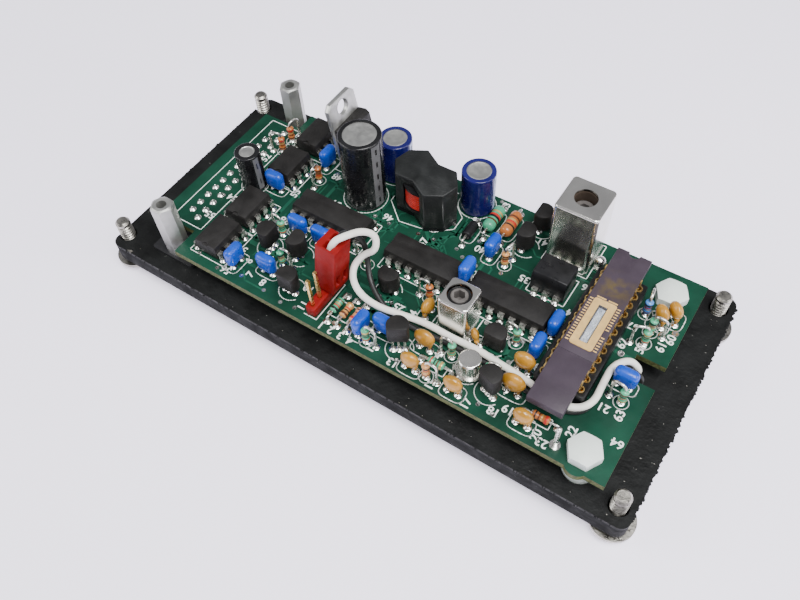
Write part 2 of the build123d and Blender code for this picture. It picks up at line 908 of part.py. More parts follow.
# Bead capacitors: place, radius, height of the middle above the board, direction the legs run
beads = [
    (main_part(66.8, -19.2), 2.35, 3.9, 0),
    (main_part(86.6, -13.3), 2.3, 4.0, 0),
    (main_part(87.1, -18.8), 2.5, 4.0, 0),
    (main_part(62.9, -11.6), 2.0, 3.0, 90),
    (main_part(74.8, -12.4), 1.35, 2.8, 0),
    (main_part(66.85, -24.85), 2.1, 3.4, 0),
    (main_part(77.0, -25.0), 2.1, 3.4, 0),
    (end_part(18.85, -24.0), 2.1, 3.4, 0),
    (end_part(5.6, 11.8), 2.0, 3.5, 135),
    (end_part(3.5, 13.9), 2.0, 3.5, 135),
]
bead_leg_spacing = 2.54
chip_leg_spacing = 2.54


def chip_body(x, y, z, along_y):
    body = Box(blue_cap_length, blue_cap_thickness, blue_cap_height, align=MIDDLE)
    body = fillet(body.edges(), blue_cap_thickness * rounded_share)
    return Pos(x, y, z) * Rot(0, 0, 90 if along_y else 0) * body


def blue_chip_bodies():
    bodies = [chip_body(x, y, board_top + blue_cap_rise, along_y) for (x, y), along_y in blue_chips]
    (x, y), rise = raised_chip
    return bodies + [chip_body(x, y, board_top + rise, True)]


def bead_bodies():
    bodies = []
    for (x, y), radius, height, turn in beads:
        bead = Rot(90, 0, 0) * Cylinder(radius, bead_thickness)
        bead = fillet(bead.edges(), bead_thickness * rounded_share)
        bodies.append(Pos(x, y, board_top + height) * Rot(0, 0, turn) * bead)
    return bodies


def leg_pair(x, y, turn, spacing, top):
    angle = math.radians(turn)
    dx, dy = math.cos(angle) * spacing / 2, math.sin(angle) * spacing / 2
    return [straight_lead(x - dx, y - dy, top), straight_lead(x + dx, y + dy, top)]


def small_capacitor_leads():
    leads = []
    for (x, y), along_y in blue_chips:
        leads += leg_pair(x, y, 90 if along_y else 0, chip_leg_spacing, board_top + blue_cap_rise)
    (x, y), rise = raised_chip
    leads += leg_pair(x, y, 90, chip_leg_spacing, board_top + rise)
    for (x, y), radius, height, turn in beads:
        drop = math.sqrt(radius**2 - (bead_leg_spacing / 2 - lead_radius) ** 2)
        leads += leg_pair(x, y, turn, bead_leg_spacing, board_top + height - drop)
    return leads


# Lying parts: middle, direction of the axis, distance between the holes and height of the axis
lying_resistors = [
    (main_part(45.5, -20.6), 90, 7.6, 1.3),
    (main_part(48.0, -20.6), 90, 7.6, 1.3),
    (main_part(50.5, -20.6), 90, 7.6, 1.3),
    (main_part(71.35, -22.0), 0, 7.6, 1.9),
    (end_part(16.2, -21.3), 0, 7.6, 1.2),
]

# Standing parts: place of the body, place of the looped lead's hole
standing_resistors = [
    (main_part(5.0, 15.7), main_part(5.5, 18.3)),
    (main_part(5.3, 11.6), main_part(2.9, 10.4)),
    (main_part(19.4, 8.0), main_part(19.6, 5.4)),
    (main_part(27.7, -17.2), main_part(30.3, -17.0)),
    (main_part(22.4, -10.2), main_part(19.8, -9.9)),
    (main_part(55.5, -24.2), main_part(58.1, -24.3)),
    (main_part(70.6, -24.8), main_part(73.2, -24.9)),
    (main_part(81.3, -18.2), main_part(83.7, -18.0)),
    (main_part(61.0, -7.9), main_part(58.5, -8.1)),
    (main_part(72.6, -18.0), main_part(70.2, -18.2)),
    (main_part(82.2, -8.2), main_part(79.7, -7.9)),
    (main_part(70.5, 8.3), main_part(71.2, 10.9)),
    (main_part(44.2, -7.4), main_part(41.6, -7.4)),
    (end_part(8.8, 12.4), end_part(9.2, 15.2)),
    (end_part(6.2, 8.6), end_part(3.6, 8.6)),
    (end_part(6.2, 5.4), end_part(8.8, 4.3)),
    (end_part(4.6, -9.6), end_part(7.3, -9.2)),
]
chokes = [
    (main_part(62.5, 17.8), 90, 10.16, 1.9),
    (main_part(66.6, 18.4), 90, 10.16, 1.9),
]
diodes = [
    (main_part(59.4, 12.3), 90, 7.62, 1.5),
]


def resistor_shape():
    """Body along Z, centred: a waist between two fuller ends."""
    half = resistor_length / 2
    inner = half - resistor_cap_length
    body = Cylinder(resistor_waist_radius, resistor_length)
    for side in (-1, 1):
        cap = Pos(0, 0, side * (inner + resistor_cap_length / 2)) * Cylinder(resistor_radius, resistor_cap_length)
        body += fillet(cap.edges(), resistor_cap_length / 4)
    return body


def lie_down(shape, x, y, z, turn):
    return Pos(x, y, board_top + z) * Rot(0, 0, turn) * Rot(0, 90, 0) * shape


def resistor_bodies():
    shape = resistor_shape()
    bodies = [lie_down(shape, x, y, z, turn) for (x, y), turn, _, z in lying_resistors]
    middle = board_top + standing_rise + resistor_length / 2
    for (x, y), _ in standing_resistors:
        bodies.append(Pos(x, y, middle) * shape)
    return bodies


def rounded_barrel(radius, length):
    return fillet(Cylinder(radius, length).edges(), radius / 3)


def choke_bodies():
    shape = rounded_barrel(choke_radius, choke_length)
    return [lie_down(shape, x, y, z, turn) for (x, y), turn, _, z in chokes]


def diode_bodies():
    shape = rounded_barrel(diode_radius, diode_length)
    return [lie_down(shape, x, y, z, turn) for (x, y), turn, _, z in diodes]


def lying_leads(group, body_length):
    leads = []
    for (x, y), turn, spacing, z in group:
        angle = math.radians(turn)
        for side in (-1, 1):
            ux, uy = side * math.cos(angle), side * math.sin(angle)
            hole = (x + ux * spacing / 2, y + uy * spacing / 2, board_top)
            corner = (hole[0], hole[1], board_top + z)
            end = (x + ux * body_length / 2, y + uy * body_length / 2, board_top + z)
            leads.append(bent_lead([hole, corner, end]))
    return leads


def standing_leads():
    leads = []
    body_top = board_top + standing_rise + resistor_length
    loop_top = body_top + standing_loop
    for (x, y), (hole_x, hole_y) in standing_resistors:
        leads.append(straight_lead(x, y, board_top + standing_rise))
        loop = [(hole_x, hole_y, board_top), (hole_x, hole_y, loop_top), (x, y, loop_top), (x, y, body_top)]
        leads.append(bent_lead(loop, bend=1.0))
    return leads


def component_leads():
    leads = small_capacitor_leads() + standing_leads()
    leads += lying_leads(lying_resistors, resistor_length)
    leads += lying_leads(chokes, choke_length) + lying_leads(diodes, diode_length)
    return leads


test_pin_places = [end_part(11.4, -24.8), main_part(88.5, 18.4)]


def test_pins():
    pins = []
    for (x, y), rise, tip in zip(test_pin_places, test_pin_rises, test_pin_tips):
        pin = straight_lead(x, y, board_top + rise, test_pin_radius)
        pin += rod(test_pin_collar_radius, test_pin_collar_height, x, y, board_top)
        pin += Pos(x, y, board_top + rise) * Sphere(tip)
        pins.append(pin)
    return pins


header_x, header_y = main_part(41.5, -20.0)
plug_x, plug_y = main_part(41.75, -17.1)
plug_place = Pos(plug_x, plug_y, board_top + header_height + plug_lift) * Rot(-plug_lean_back, plug_lean_right, 0)


def header_pin_places():
    start = header_y - (header_count - 1) / 2 * header_pitch
    return [(header_x, start + i * header_pitch) for i in range(header_count)]


def header_base():
    length = header_count * header_pitch
    base = block(header_pitch, length, header_height, header_x, header_y, board_top)
    base = chamfer(base.edges().filter_by(Axis.Z), header_pitch / 8)
    for x, y in header_pin_places():
        hole = pin_width + 2 * thread_gap
        base -= block(hole, hole, header_height, x, y, board_top)
    return [base]


def header_pins():
    """The two free pins are straight, and the two in the plug are bent over with it."""
    pins = []
    bend = board_top + header_height + bent_pin_start
    for i, (x, y) in enumerate(header_pin_places()):
        if i < header_count / 2:
            pins.append(block(pin_width, pin_width, pin_rise, x, y, board_top))
        else:
            lower = block(pin_width, pin_width, bend - board_top, x, y, board_top)
            upper = Pos(x, y, bend) * Rot(-plug_lean_back, plug_lean_right, 0)
            upper = upper * block(pin_width, pin_width, pin_rise - header_height - 0.8, 0, 0, -0.1)
            pins.append(lower + upper)
    return pins


def plug_housing():
    """Two-way plug with a square cavity over each pin and a slot low in its right side."""
    body = Box(plug_width, plug_depth, plug_height, align=MIDDLE)
    body = fillet(body.edges().filter_by(Axis.Z), plug_width / 20)
    for side in (-1, 1):
        y = side * header_pitch / 2
        body -= block(cavity_width, cavity_width, plug_height, 0, y, 0)
        slot_z = plug_height * plug_slot_share
        body -= block(plug_width / 2, header_pitch / 2, plug_height / 4, plug_width / 2, y, slot_z)
    return [plug_place * body]


def plug_contacts():
    contacts = []
    x = (cavity_width - plug_contact_thickness) / 2
    for side in (-1, 1):
        y, z = side * header_pitch / 2, plug_height * plug_contact_base_share
        width = cavity_width * plug_contact_width_share
        strip = block(plug_contact_thickness, width, plug_contact_length, -x, y, z)
        contacts.append(plug_place * strip)
    return contacts


# Routes of the two leads, from inside the plug to the wiring under the right end.
# Heights are above the board.
white_lead_route = [
    (42.5, -17.7, 12.6),
    (43.2, -16.9, 17.2),
    (45.6, -14.3, 18.3),
    (46.9, -11.0, 17.2),
    (49.2, -9.4, 15.6),
    (49.9, -10.9, 12.6),
    (47.3, -11.7, 10.6),
    (45.9, -13.9, 8.4),
    (47.3, -16.6, 7.0),
    (50.6, -18.3, 6.0),
    (55.0, -18.4, 5.0),
    (59.5, -16.5, 3.4),
    (64.8, -15.1, 2.4),
    (70.8, -15.2, 2.0),
    (76.6, -14.9, 2.1),
    (82.4, -15.5, 2.1),
    (87.9, -15.8, 2.0),
    (93.2, -17.0, 2.1),
    (98.6, -17.4, 2.3),
    (102.0, -14.6, 2.8),
    (101.7, -8.9, 2.7),
    (101.6, -4.4, 2.6),
    (103.9, -1.2, 2.4),
    (106.2, -0.7, 0.2),
    (106.2, -0.6, -2.3),
    (103.9, -0.9, -2.4),
]
black_lead_route = [
    (42.6, -15.0, 12.4),
    (43.1, -14.3, 16.8),
    (44.6, -11.9, 16.6),
    (46.2, -10.3, 13.0),
    (46.7, -10.0, 8.6),
    (48.4, -12.4, 5.0),
    (51.9, -15.0, 3.2),
    (56.8, -16.7, 1.5),
    (62.6, -16.7, 0.8),
    (68.6, -16.1, 0.7),
    (74.6, -15.9, 0.7),
    (80.6, -15.9, 0.7),
    (86.0, -16.8, 0.7),
    (91.2, -17.6, 0.7),
    (96.6, -17.9, 0.7),
    (101.2, -15.9, 0.7),
    (101.7, -10.6, 0.8),
    (101.5, -5.2, 0.7),
    (102.6, -2.7, 0.8),
    (105.2, -2.5, 1.2),
    (107.6, -2.4, 0.1),
    (107.6, -2.6, -2.2),
    (107.5, -4.9, -2.3),
]


def round_corners(points):
    """Each arc's radius, from its shorter run and its turn."""
    radii = []
    for a, b, c in zip(points, points[1:], points[2:]):
        first, second = Vector(*b) - Vector(*a), Vector(*c) - Vector(*b)
        half_turn = math.radians(first.get_angle(second)) / 2
        radii.append(0.45 * min(first.length, second.length) / math.tan(half_turn))
    return radii


def flexible_lead(name, route, diameter):
    """A tube of straight runs and tangent arcs."""
    points = [(connector_x + x, connector_y + y, board_top + z) for x, y, z in route]
    radii = round_corners(points)
    path = FilletPolyline(*points, radius=radii)
    section = Plane(origin=path @ 0, z_dir=path % 0) * Circle(diameter / 2)
    solid = sweep(section, path)
    ratio = solid.volume / (math.pi * (diameter / 2) ** 2 * path.length)
    print(name, "length", round(path.length, 1), "volume over section times length", round(ratio, 4))
    print(name, "radii", [round(radius, 1) for radius in radii])
    return [solid]


def large_coil():
    x, y = large_coil_x, large_coil_y
    save("large_coil_can", coil_can(large_can_width, large_can_height, large_can_hole, x, y))
    save("large_coil_former", coil_former(large_can_width, large_can_height, large_slug_radius, x, y))
    save("large_coil_winding", coil_winding(large_can_height, large_slug_radius, x, y))
    slug = tuning_slug(large_can_height, large_slug_recess, large_slug_radius, large_slug_length, x, y)
    save("large_tuning_slug", slug)


def small_coil():
    x, y = small_coil_x, small_coil_y
    save("small_coil_can", coil_can(small_can_width, small_can_height, small_can_hole, x, y))
    save("small_coil_former", coil_former(small_can_width, small_can_height, small_slug_radius, x, y))
    save("small_coil_winding", coil_winding(small_can_height, small_slug_radius, x, y))
    slug = tuning_slug(small_can_height, small_slug_recess, small_slug_radius, small_slug_length, x, y)
    save("small_tuning_slug", slug)


def packages():
    bodies = [dip_body(dip8_length, x, y, along_y=True) for x, y in small_amplifiers]
    leads = []
    for x, y in small_amplifiers:
        leads += lead_rows(8, dip_pitch, dip_row_spacing, dip_body_width, dip_split, x, y, along_y=True)
    save("amplifier_packages", bodies)
    save("amplifier_leads", leads)
    bodies = [dip_body(length, x, y) for (x, y), _, length in logic_packages]
    leads = []
    for (x, y), count, _ in logic_packages:
        leads += lead_rows(count, dip_pitch, dip_row_spacing, dip_body_width, dip_split, x, y)
    save("logic_packages", bodies)
    save("logic_leads", leads)


os.makedirs("parts", exist_ok=True)
save("base_plate", base_plate())
save("gasket_sheet", gasket_sheet())
save("corner_screws", corner_screws())
save("corner_washers", corner_washers())
save("hex_standoffs", hex_standoffs())
save("standoff_screws", standoff_screws())
save("plastic_bolts", plastic_bolts())
save("plastic_spacers", plastic_spacers())
save("connector_shell", connector_shell())
save("connector_insulator", connector_insulator())
save("connector_contacts", connector_contacts())
packages()
save("sensor_body", sensor_body())
save("sensor_lid", sensor_lid())
save("sensor_window", sensor_window())
save("sensor_die", sensor_die())
save("sensor_pins", sensor_pins())
save("sensor_socket", sensor_socket())
save("socket_contacts", socket_contacts())
large_coil()
small_coil()
save("transformer_module", transformer_module())
save("transformer_leads", transformer_leads())
save("inductor_core", inductor_core())
save("inductor_bobbin", inductor_bobbin())
save("inductor_winding", inductor_winding())
save("black_capacitor_sleeves", capacitor_sleeves(black_capacitors))
save("blue_capacitor_sleeves", capacitor_sleeves(blue_capacitors))
save("capacitor_cans", capacitor_cans())
save("capacitor_bungs", capacitor_bungs())
save("regulator_body", regulator_body())
save("regulator_tab", regulator_tab())
save("regulator_leads", regulator_leads())
save("transistor_bodies", transistor_bodies())
save("transistor_leads", transistor_leads())
save("metal_transistor_header", metal_transistor_header())
save("metal_transistor_can", metal_transistor_can())
save("blue_chip_capacitors", blue_chip_bodies())
save("bead_capacitors", bead_bodies())
save("resistor_bodies", resistor_bodies())
save("choke_bodies", choke_bodies())
save("diode_bodies", diode_bodies())
save("component_leads", component_leads())
save("test_pins", test_pins())
save("header_base", header_base())
save("header_pins", header_pins())
save("plug_housing", plug_housing())
save("plug_contacts", plug_contacts())
save("white_lead", flexible_lead("white_lead", white_lead_route, white_lead_diameter))
save("black_lead", flexible_lead("black_lead", black_lead_route, black_lead_diameter))
save("circuit_board", circuit_board())
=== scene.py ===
import json
import math
import random

import bmesh
import bpy
from bpy.props import FloatProperty, FloatVectorProperty, IntProperty, PointerProperty
from mathutils import Euler, Matrix, Vector, noise

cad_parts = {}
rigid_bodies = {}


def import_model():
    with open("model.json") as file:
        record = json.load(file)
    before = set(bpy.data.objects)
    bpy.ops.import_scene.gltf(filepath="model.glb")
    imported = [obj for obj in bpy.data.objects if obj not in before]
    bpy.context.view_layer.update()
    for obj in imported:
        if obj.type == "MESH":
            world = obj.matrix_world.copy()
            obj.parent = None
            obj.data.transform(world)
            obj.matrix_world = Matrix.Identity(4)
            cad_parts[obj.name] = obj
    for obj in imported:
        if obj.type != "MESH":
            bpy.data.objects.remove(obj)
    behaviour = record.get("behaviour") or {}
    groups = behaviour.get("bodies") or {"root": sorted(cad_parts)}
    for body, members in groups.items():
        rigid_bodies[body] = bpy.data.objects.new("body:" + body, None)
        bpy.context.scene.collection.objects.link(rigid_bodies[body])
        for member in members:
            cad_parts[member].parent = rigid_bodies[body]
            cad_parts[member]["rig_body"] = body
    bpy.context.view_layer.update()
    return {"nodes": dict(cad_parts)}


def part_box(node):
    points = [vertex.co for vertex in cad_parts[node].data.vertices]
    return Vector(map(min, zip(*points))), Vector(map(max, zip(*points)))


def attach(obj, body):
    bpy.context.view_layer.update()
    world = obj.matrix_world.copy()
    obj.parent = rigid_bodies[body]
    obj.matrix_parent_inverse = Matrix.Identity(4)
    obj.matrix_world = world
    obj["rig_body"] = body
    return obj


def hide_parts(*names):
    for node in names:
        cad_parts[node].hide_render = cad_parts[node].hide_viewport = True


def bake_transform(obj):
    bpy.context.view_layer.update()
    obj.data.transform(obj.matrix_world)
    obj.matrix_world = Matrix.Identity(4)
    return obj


bl_info = {
    "name": "Line-scan sensor board",
    "version": (1, 0, 0),
    "blender": (4, 5, 0),
    "location": "View3D > Sidebar > Sensor board",
    "description": "Finishes and fine detail for a line-scan image sensor board on its mounting plate",
    "category": "Object",
}

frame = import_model()

MM = 0.001
BOARD_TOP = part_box("circuit_board")[1].z
BOARD_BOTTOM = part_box("circuit_board")[0].z
PLATE_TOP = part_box("base_plate")[1].z
CONNECTOR = (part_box("connector_insulator")[0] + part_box("connector_insulator")[1]) / 2


def at(x, y, z=0.0):
    """A place in metres, from millimetres measured from the connector's centre and the board's top."""
    return Vector((CONNECTOR.x + x * MM, CONNECTOR.y + y * MM, BOARD_TOP + z * MM))


# ---------------------------------------------------------------- materials


def node_tree(name):
    material = bpy.data.materials.new(name)
    material.use_nodes = True
    return material, material.node_tree.nodes, material.node_tree.links


def noise_mask(nodes, links, coords, scale, low, high, detail=4.0):
    """Noise in Object coordinates, spread between two limits."""
    texture = nodes.new("ShaderNodeTexNoise")
    texture.inputs["Scale"].default_value = scale
    texture.inputs["Detail"].default_value = detail
    links.new(coords.outputs["Object"], texture.inputs["Vector"])
    ramp = nodes.new("ShaderNodeMapRange")
    ramp.inputs["From Min"].default_value = low
    ramp.inputs["From Max"].default_value = high
    links.new(texture.outputs["Fac"], ramp.inputs["Value"])
    return ramp.outputs["Result"]


def mixed(nodes, links, mask, first, second):
    mix = nodes.new("ShaderNodeMix")
    mix.data_type = "RGBA"
    links.new(mask, mix.inputs["Factor"])
    for socket, colour in ((mix.inputs["A"], first), (mix.inputs["B"], second)):
        if isinstance(colour, bpy.types.NodeSocket):
            links.new(colour, socket)
        else:
            socket.default_value = (*colour[:3], 1.0)
    return mix.outputs["Result"]


def finish(name, colour, rough, metal=0.0, vary=0.25, patch=300.0, grain=2500.0, bump=0.08, coat=0.0,
           rough_spread=0.12, soft=0.0, specks=None, sheen=0.35):
    """A finish whose colour drifts in patches, whose gloss is uneven and whose surface has a fine grain."""
    material, nodes, links = node_tree(name)
    shader = nodes["Principled BSDF"]
    coords = nodes.new("ShaderNodeTexCoord")
    dark = [c * (1 - vary) for c in colour[:3]]
    light = [min(1.0, c * (1 + vary * 0.6) + 0.004) for c in colour[:3]]
    tint = mixed(nodes, links, noise_mask(nodes, links, coords, patch, 0.3, 0.7), dark, light)
    if specks:
        speck_colour, speck_scale, speck_limit = specks
        mask = noise_mask(nodes, links, coords, speck_scale, speck_limit, speck_limit + 0.03, 2.0)
        tint = mixed(nodes, links, mask, tint, speck_colour)
    links.new(tint, shader.inputs["Base Color"])
    gloss = nodes.new("ShaderNodeMapRange")
    gloss.inputs["To Min"].default_value = max(0.02, rough - rough_spread)
    gloss.inputs["To Max"].default_value = min(1.0, rough + rough_spread)
    links.new(noise_mask(nodes, links, coords, patch * 2.3, 0.3, 0.7), gloss.inputs["Value"])
    links.new(gloss.outputs["Result"], shader.inputs["Roughness"])
    relief = nodes.new("ShaderNodeBump")
    relief.inputs["Strength"].default_value = bump
    relief.inputs["Distance"].default_value = 0.0002
    links.new(noise_mask(nodes, links, coords, grain, 0.25, 0.75), relief.inputs["Height"])
    links.new(relief.outputs["Normal"], shader.inputs["Normal"])
    shader.inputs["Metallic"].default_value = metal
    shader.inputs["Specular IOR Level"].default_value = sheen
    shader.inputs["Coat Weight"].default_value = coat
    shader.inputs["Subsurface Weight"].default_value = soft
    shader.inputs["Subsurface Radius"].default_value = (0.002, 0.002, 0.002)
    return material


def board_lacquer(name, colour, edge):
    """Green lacquer over copper, with the bare laminate showing round the board's edge."""
    material = finish(name, colour, 0.42, vary=0.4, patch=110.0, grain=1800.0, bump=0.05, sheen=0.22)
    nodes, links = material.node_tree.nodes, material.node_tree.links
    shader = nodes["Principled BSDF"]
    coords = nodes.new("ShaderNodeTexCoord")
    split = nodes.new("ShaderNodeSeparateXYZ")
    links.new(coords.outputs["Object"], split.inputs["Vector"])
    centre = (BOARD_TOP + BOARD_BOTTOM) / 2
    half = (BOARD_TOP - BOARD_BOTTOM) / 2
    inside = nodes.new("ShaderNodeMath")
    inside.operation = "COMPARE"
    inside.inputs[1].default_value = centre
    inside.inputs[2].default_value = half - 0.05 * MM
    links.new(split.outputs["Z"], inside.inputs[0])
    surface = shader.inputs["Base Color"].links[0].from_socket
    weave = noise_mask(nodes, links, coords, 1400.0, 0.35, 0.65)
    laminate = mixed(nodes, links, weave, edge, [c * 0.45 for c in edge])
    links.new(mixed(nodes, links, inside.outputs["Value"], surface, laminate), shader.inputs["Base Color"])
    return material


def stained_ceramic(name, colour, stain):
    """Purple ceramic with a faint brown residue on its rear third."""
    material = finish(name, colour, 0.46, vary=0.2, patch=160.0, grain=3000.0, bump=0.1, sheen=0.25)
    nodes, links = material.node_tree.nodes, material.node_tree.links
    shader = nodes["Principled BSDF"]
    coords = nodes.new("ShaderNodeTexCoord")
    place = nodes.new("ShaderNodeMapping")
    low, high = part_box("sensor_body")
    middle = Vector(((low.x + high.x) / 2, high.y - 10.5 * MM, high.z))
    place.inputs["Location"].default_value = [-c * 190 for c in middle]
    place.inputs["Scale"].default_value = (190, 190, 190)
    links.new(coords.outputs["Object"], place.inputs["Vector"])
    ring = nodes.new("ShaderNodeTexGradient")
    ring.gradient_type = "SPHERICAL"
    links.new(place.outputs["Vector"], ring.inputs["Vector"])
    fade = nodes.new("ShaderNodeMath")
    fade.operation = "MULTIPLY"
    links.new(ring.outputs["Fac"], fade.inputs[0])
    links.new(noise_mask(nodes, links, coords, 420.0, 0.42, 0.62), fade.inputs[1])
    surface = shader.inputs["Base Color"].links[0].from_socket
    links.new(mixed(nodes, links, fade.outputs["Value"], surface, stain), shader.inputs["Base Color"])
    return material


def clear_glass(name):
    material = finish(name, (0.85, 0.9, 1.0), 0.08, rough_spread=0.03, bump=0.0)
    shader = material.node_tree.nodes["Principled BSDF"]
    shader.inputs["Transmission Weight"].default_value = 0.95
    shader.inputs["IOR"].default_value = 1.45
    return material


def glowing_floor(name, colour):
    """A pale floor lit from within as a light table is, so that it stays bright round the part."""
    material = finish(name, colour, 0.6, vary=0.02, patch=5, bump=0.0)
    shader = material.node_tree.nodes["Principled BSDF"]
    shader.inputs["Emission Color"].default_value = (*colour, 1.0)
    shader.inputs["Emission Strength"].default_value = 0.72
    return material


palette = {}


def dress(piece, *materials):
    """Gives a piece its materials, in slot order."""
    if piece.data.materials:
        piece.data.materials.clear()
    for name in materials:
        piece.data.materials.append(palette[name])


# ---------------------------------------------------------------- mesh helpers


def add_piece(name, mesh_work, body, slot, *materials, smooth=40.0, keep_normals=False):
    """Turns a bmesh into a finished piece that rides on a CAD body."""
    if not keep_normals:
        bmesh.ops.recalc_face_normals(mesh_work, faces=mesh_work.faces)
    mesh = bpy.data.meshes.new(name)
    mesh_work.to_mesh(mesh)
    mesh_work.free()
    piece = bpy.data.objects.new(name, mesh)
    bpy.context.scene.collection.objects.link(piece)
    dress(piece, *materials)
    mesh.shade_smooth()
    mesh.set_sharp_from_angle(angle=math.radians(smooth))
    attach(piece, body)
    return piece


def merged(node):
    """A welded copy of a CAD node's mesh."""
    work = bmesh.new()
    work.from_mesh(frame["nodes"][node].data)
    bmesh.ops.remove_doubles(work, verts=work.verts, dist=0.002 * MM)
    return work


def islands(node):
    """The separate solids of a CAD node, as lists of points, from left to right."""
    work = merged(node)
    seen = set()
    groups = []
    for start in work.verts:
        if start.index in seen:
            continue
        stack, group = [start], []
        seen.add(start.index)
        while stack:
            vert = stack.pop()
            group.append(vert.co.copy())
            for edge in vert.link_edges:
                other = edge.other_vert(vert)
                if other.index not in seen:
                    seen.add(other.index)
                    stack.append(other)
        groups.append(group)
    work.free()
    return sorted(groups, key=lambda g: (round(min(p.x for p in g), 5), round(min(p.y for p in g), 5)))


def limits(points):
    low = Vector([min(p[i] for p in points) for i in range(3)])
    high = Vector([max(p[i] for p in points) for i in range(3)])
    return low, high


def foot(points):
    """Where a lead meets the board."""
    low = min(p.z for p in points)
    ends = [p for p in points if p.z < low + 0.05 * MM]
    return Vector((sum(p.x for p in ends) / len(ends), sum(p.y for p in ends) / len(ends), low))


def turned(profile, steps=20):
    """A closed turned shape from (radius, height) pairs in millimetres, on the Z axis."""
    work = bmesh.new()
    verts = [work.verts.new((r * MM, 0, z * MM)) for r, z in profile]
    edges = [work.edges.new(pair) for pair in zip(verts, verts[1:])]
    bmesh.ops.spin(work, geom=verts + edges, axis=(0, 0, 1), cent=(0, 0, 0), steps=steps,
                   angle=math.tau, use_merge=True)
    bmesh.ops.remove_doubles(work, verts=work.verts, dist=0.001 * MM)
    bmesh.ops.recalc_face_normals(work, faces=work.faces)
    return work


def rounded_block(size, edge, segments=3):
    """A block in millimetres with its edges rounded, centred on the origin."""
    work = bmesh.new()
    bmesh.ops.create_cube(work, size=1.0)
    bmesh.ops.scale(work, vec=[s * MM for s in size], verts=work.verts)
    bmesh.ops.bevel(work, geom=work.edges[:], offset=edge * MM, offset_type="OFFSET", segments=segments,
                    profile=0.5, affect="EDGES", material=-1, clamp_overlap=True)
    return work


def stamp(target, shape, matrix, material=None):
    """Adds a placed copy of one bmesh to another."""
    mesh = bpy.data.meshes.new("stamp")
    shape.to_mesh(mesh)
    mesh.transform(matrix)
    first = len(target.faces)
    target.from_mesh(mesh)
    bpy.data.meshes.remove(mesh)
    target.faces.ensure_lookup_table()
    if material is not None:
        for face in target.faces[first:]:
            face.material_index = material


def softened(node, width, slot, *materials, segments=2):
    """A CAD node's own shape with its sharp edges eased, in place of that node."""
    work = merged(node)
    bmesh.ops.dissolve_limit(work, angle_limit=math.radians(1.0), verts=work.verts, edges=work.edges)
    sharp = [e for e in work.edges if len(e.link_faces) == 2 and e.calc_face_angle(0) > math.radians(35)]
    bmesh.ops.bevel(work, geom=sharp, offset=width * MM, offset_type="OFFSET", segments=segments,
                    profile=0.5, affect="EDGES", material=-1, clamp_overlap=True)
    body = frame["nodes"][node]["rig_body"]
    piece = add_piece(node + "_finished", work, body, slot, *materials, keep_normals=True)
    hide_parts(node)
    return piece


# ---------------------------------------------------------------- settings


class BoardSizes(bpy.types.PropertyGroup):
    solder_radius: FloatProperty(
        name="Solder joint radius", description="Radius of the solder round each lead",
        default=0.78 * MM, min=0.3 * MM, max=1.5 * MM, precision=5, subtype="DISTANCE", unit="LENGTH")
    mark_width: FloatProperty(
        name="Printed line width", description="Width of the white printed lines",
        default=0.2 * MM, min=0.05 * MM, max=0.6 * MM, precision=5, subtype="DISTANCE", unit="LENGTH")
    mark_height: FloatProperty(
        name="Printed number height", description="Height of the white printed numbers",
        default=1.9 * MM, min=0.5 * MM, max=4 * MM, precision=5, subtype="DISTANCE", unit="LENGTH")
    trace_count: IntProperty(
        name="Copper traces", description="How many raised traces show through the lacquer", default=150,
        min=0)
    thread_pitch: FloatProperty(
        name="Stud thread pitch", description="Distance between threads on the corner studs",
        default=0.79 * MM, min=0.3 * MM, max=1.5 * MM, precision=5, subtype="DISTANCE", unit="LENGTH")


class BoardColours(bpy.types.PropertyGroup):
    lacquer: FloatVectorProperty(
        name="Board lacquer", description="Colour of the circuit board's lacquer", subtype="COLOR",
        default=(0.0025, 0.042, 0.023), min=0, max=1)
    plate: FloatVectorProperty(
        name="Plate", description="Colour of the mounting plate", subtype="COLOR",
        default=(0.005, 0.0055, 0.0055), min=0, max=1)
    moulding: FloatVectorProperty(
        name="Packages", description="Colour of the moulded packages", subtype="COLOR",
        default=(0.012, 0.011, 0.0105), min=0, max=1)
    ceramic: FloatVectorProperty(
        name="Sensor ceramic", description="Colour of the sensor's ceramic body", subtype="COLOR",
        default=(0.045, 0.033, 0.046), min=0, max=1)
    plug: FloatVectorProperty(
        name="Plug", description="Colour of the plug and the pin header", subtype="COLOR",
        default=(0.2, 0.003, 0.003), min=0, max=1)
    chip: FloatVectorProperty(
        name="Dipped capacitors", description="Colour of the small dipped capacitors", subtype="COLOR",
        default=(0.004, 0.06, 0.46), min=0, max=1)
    bead: FloatVectorProperty(
        name="Bead capacitors", description="Colour of the bead capacitors", subtype="COLOR",
        default=(0.43, 0.2, 0.015), min=0, max=1)


def sizes():
    return bpy.context.scene.sensor_board_sizes


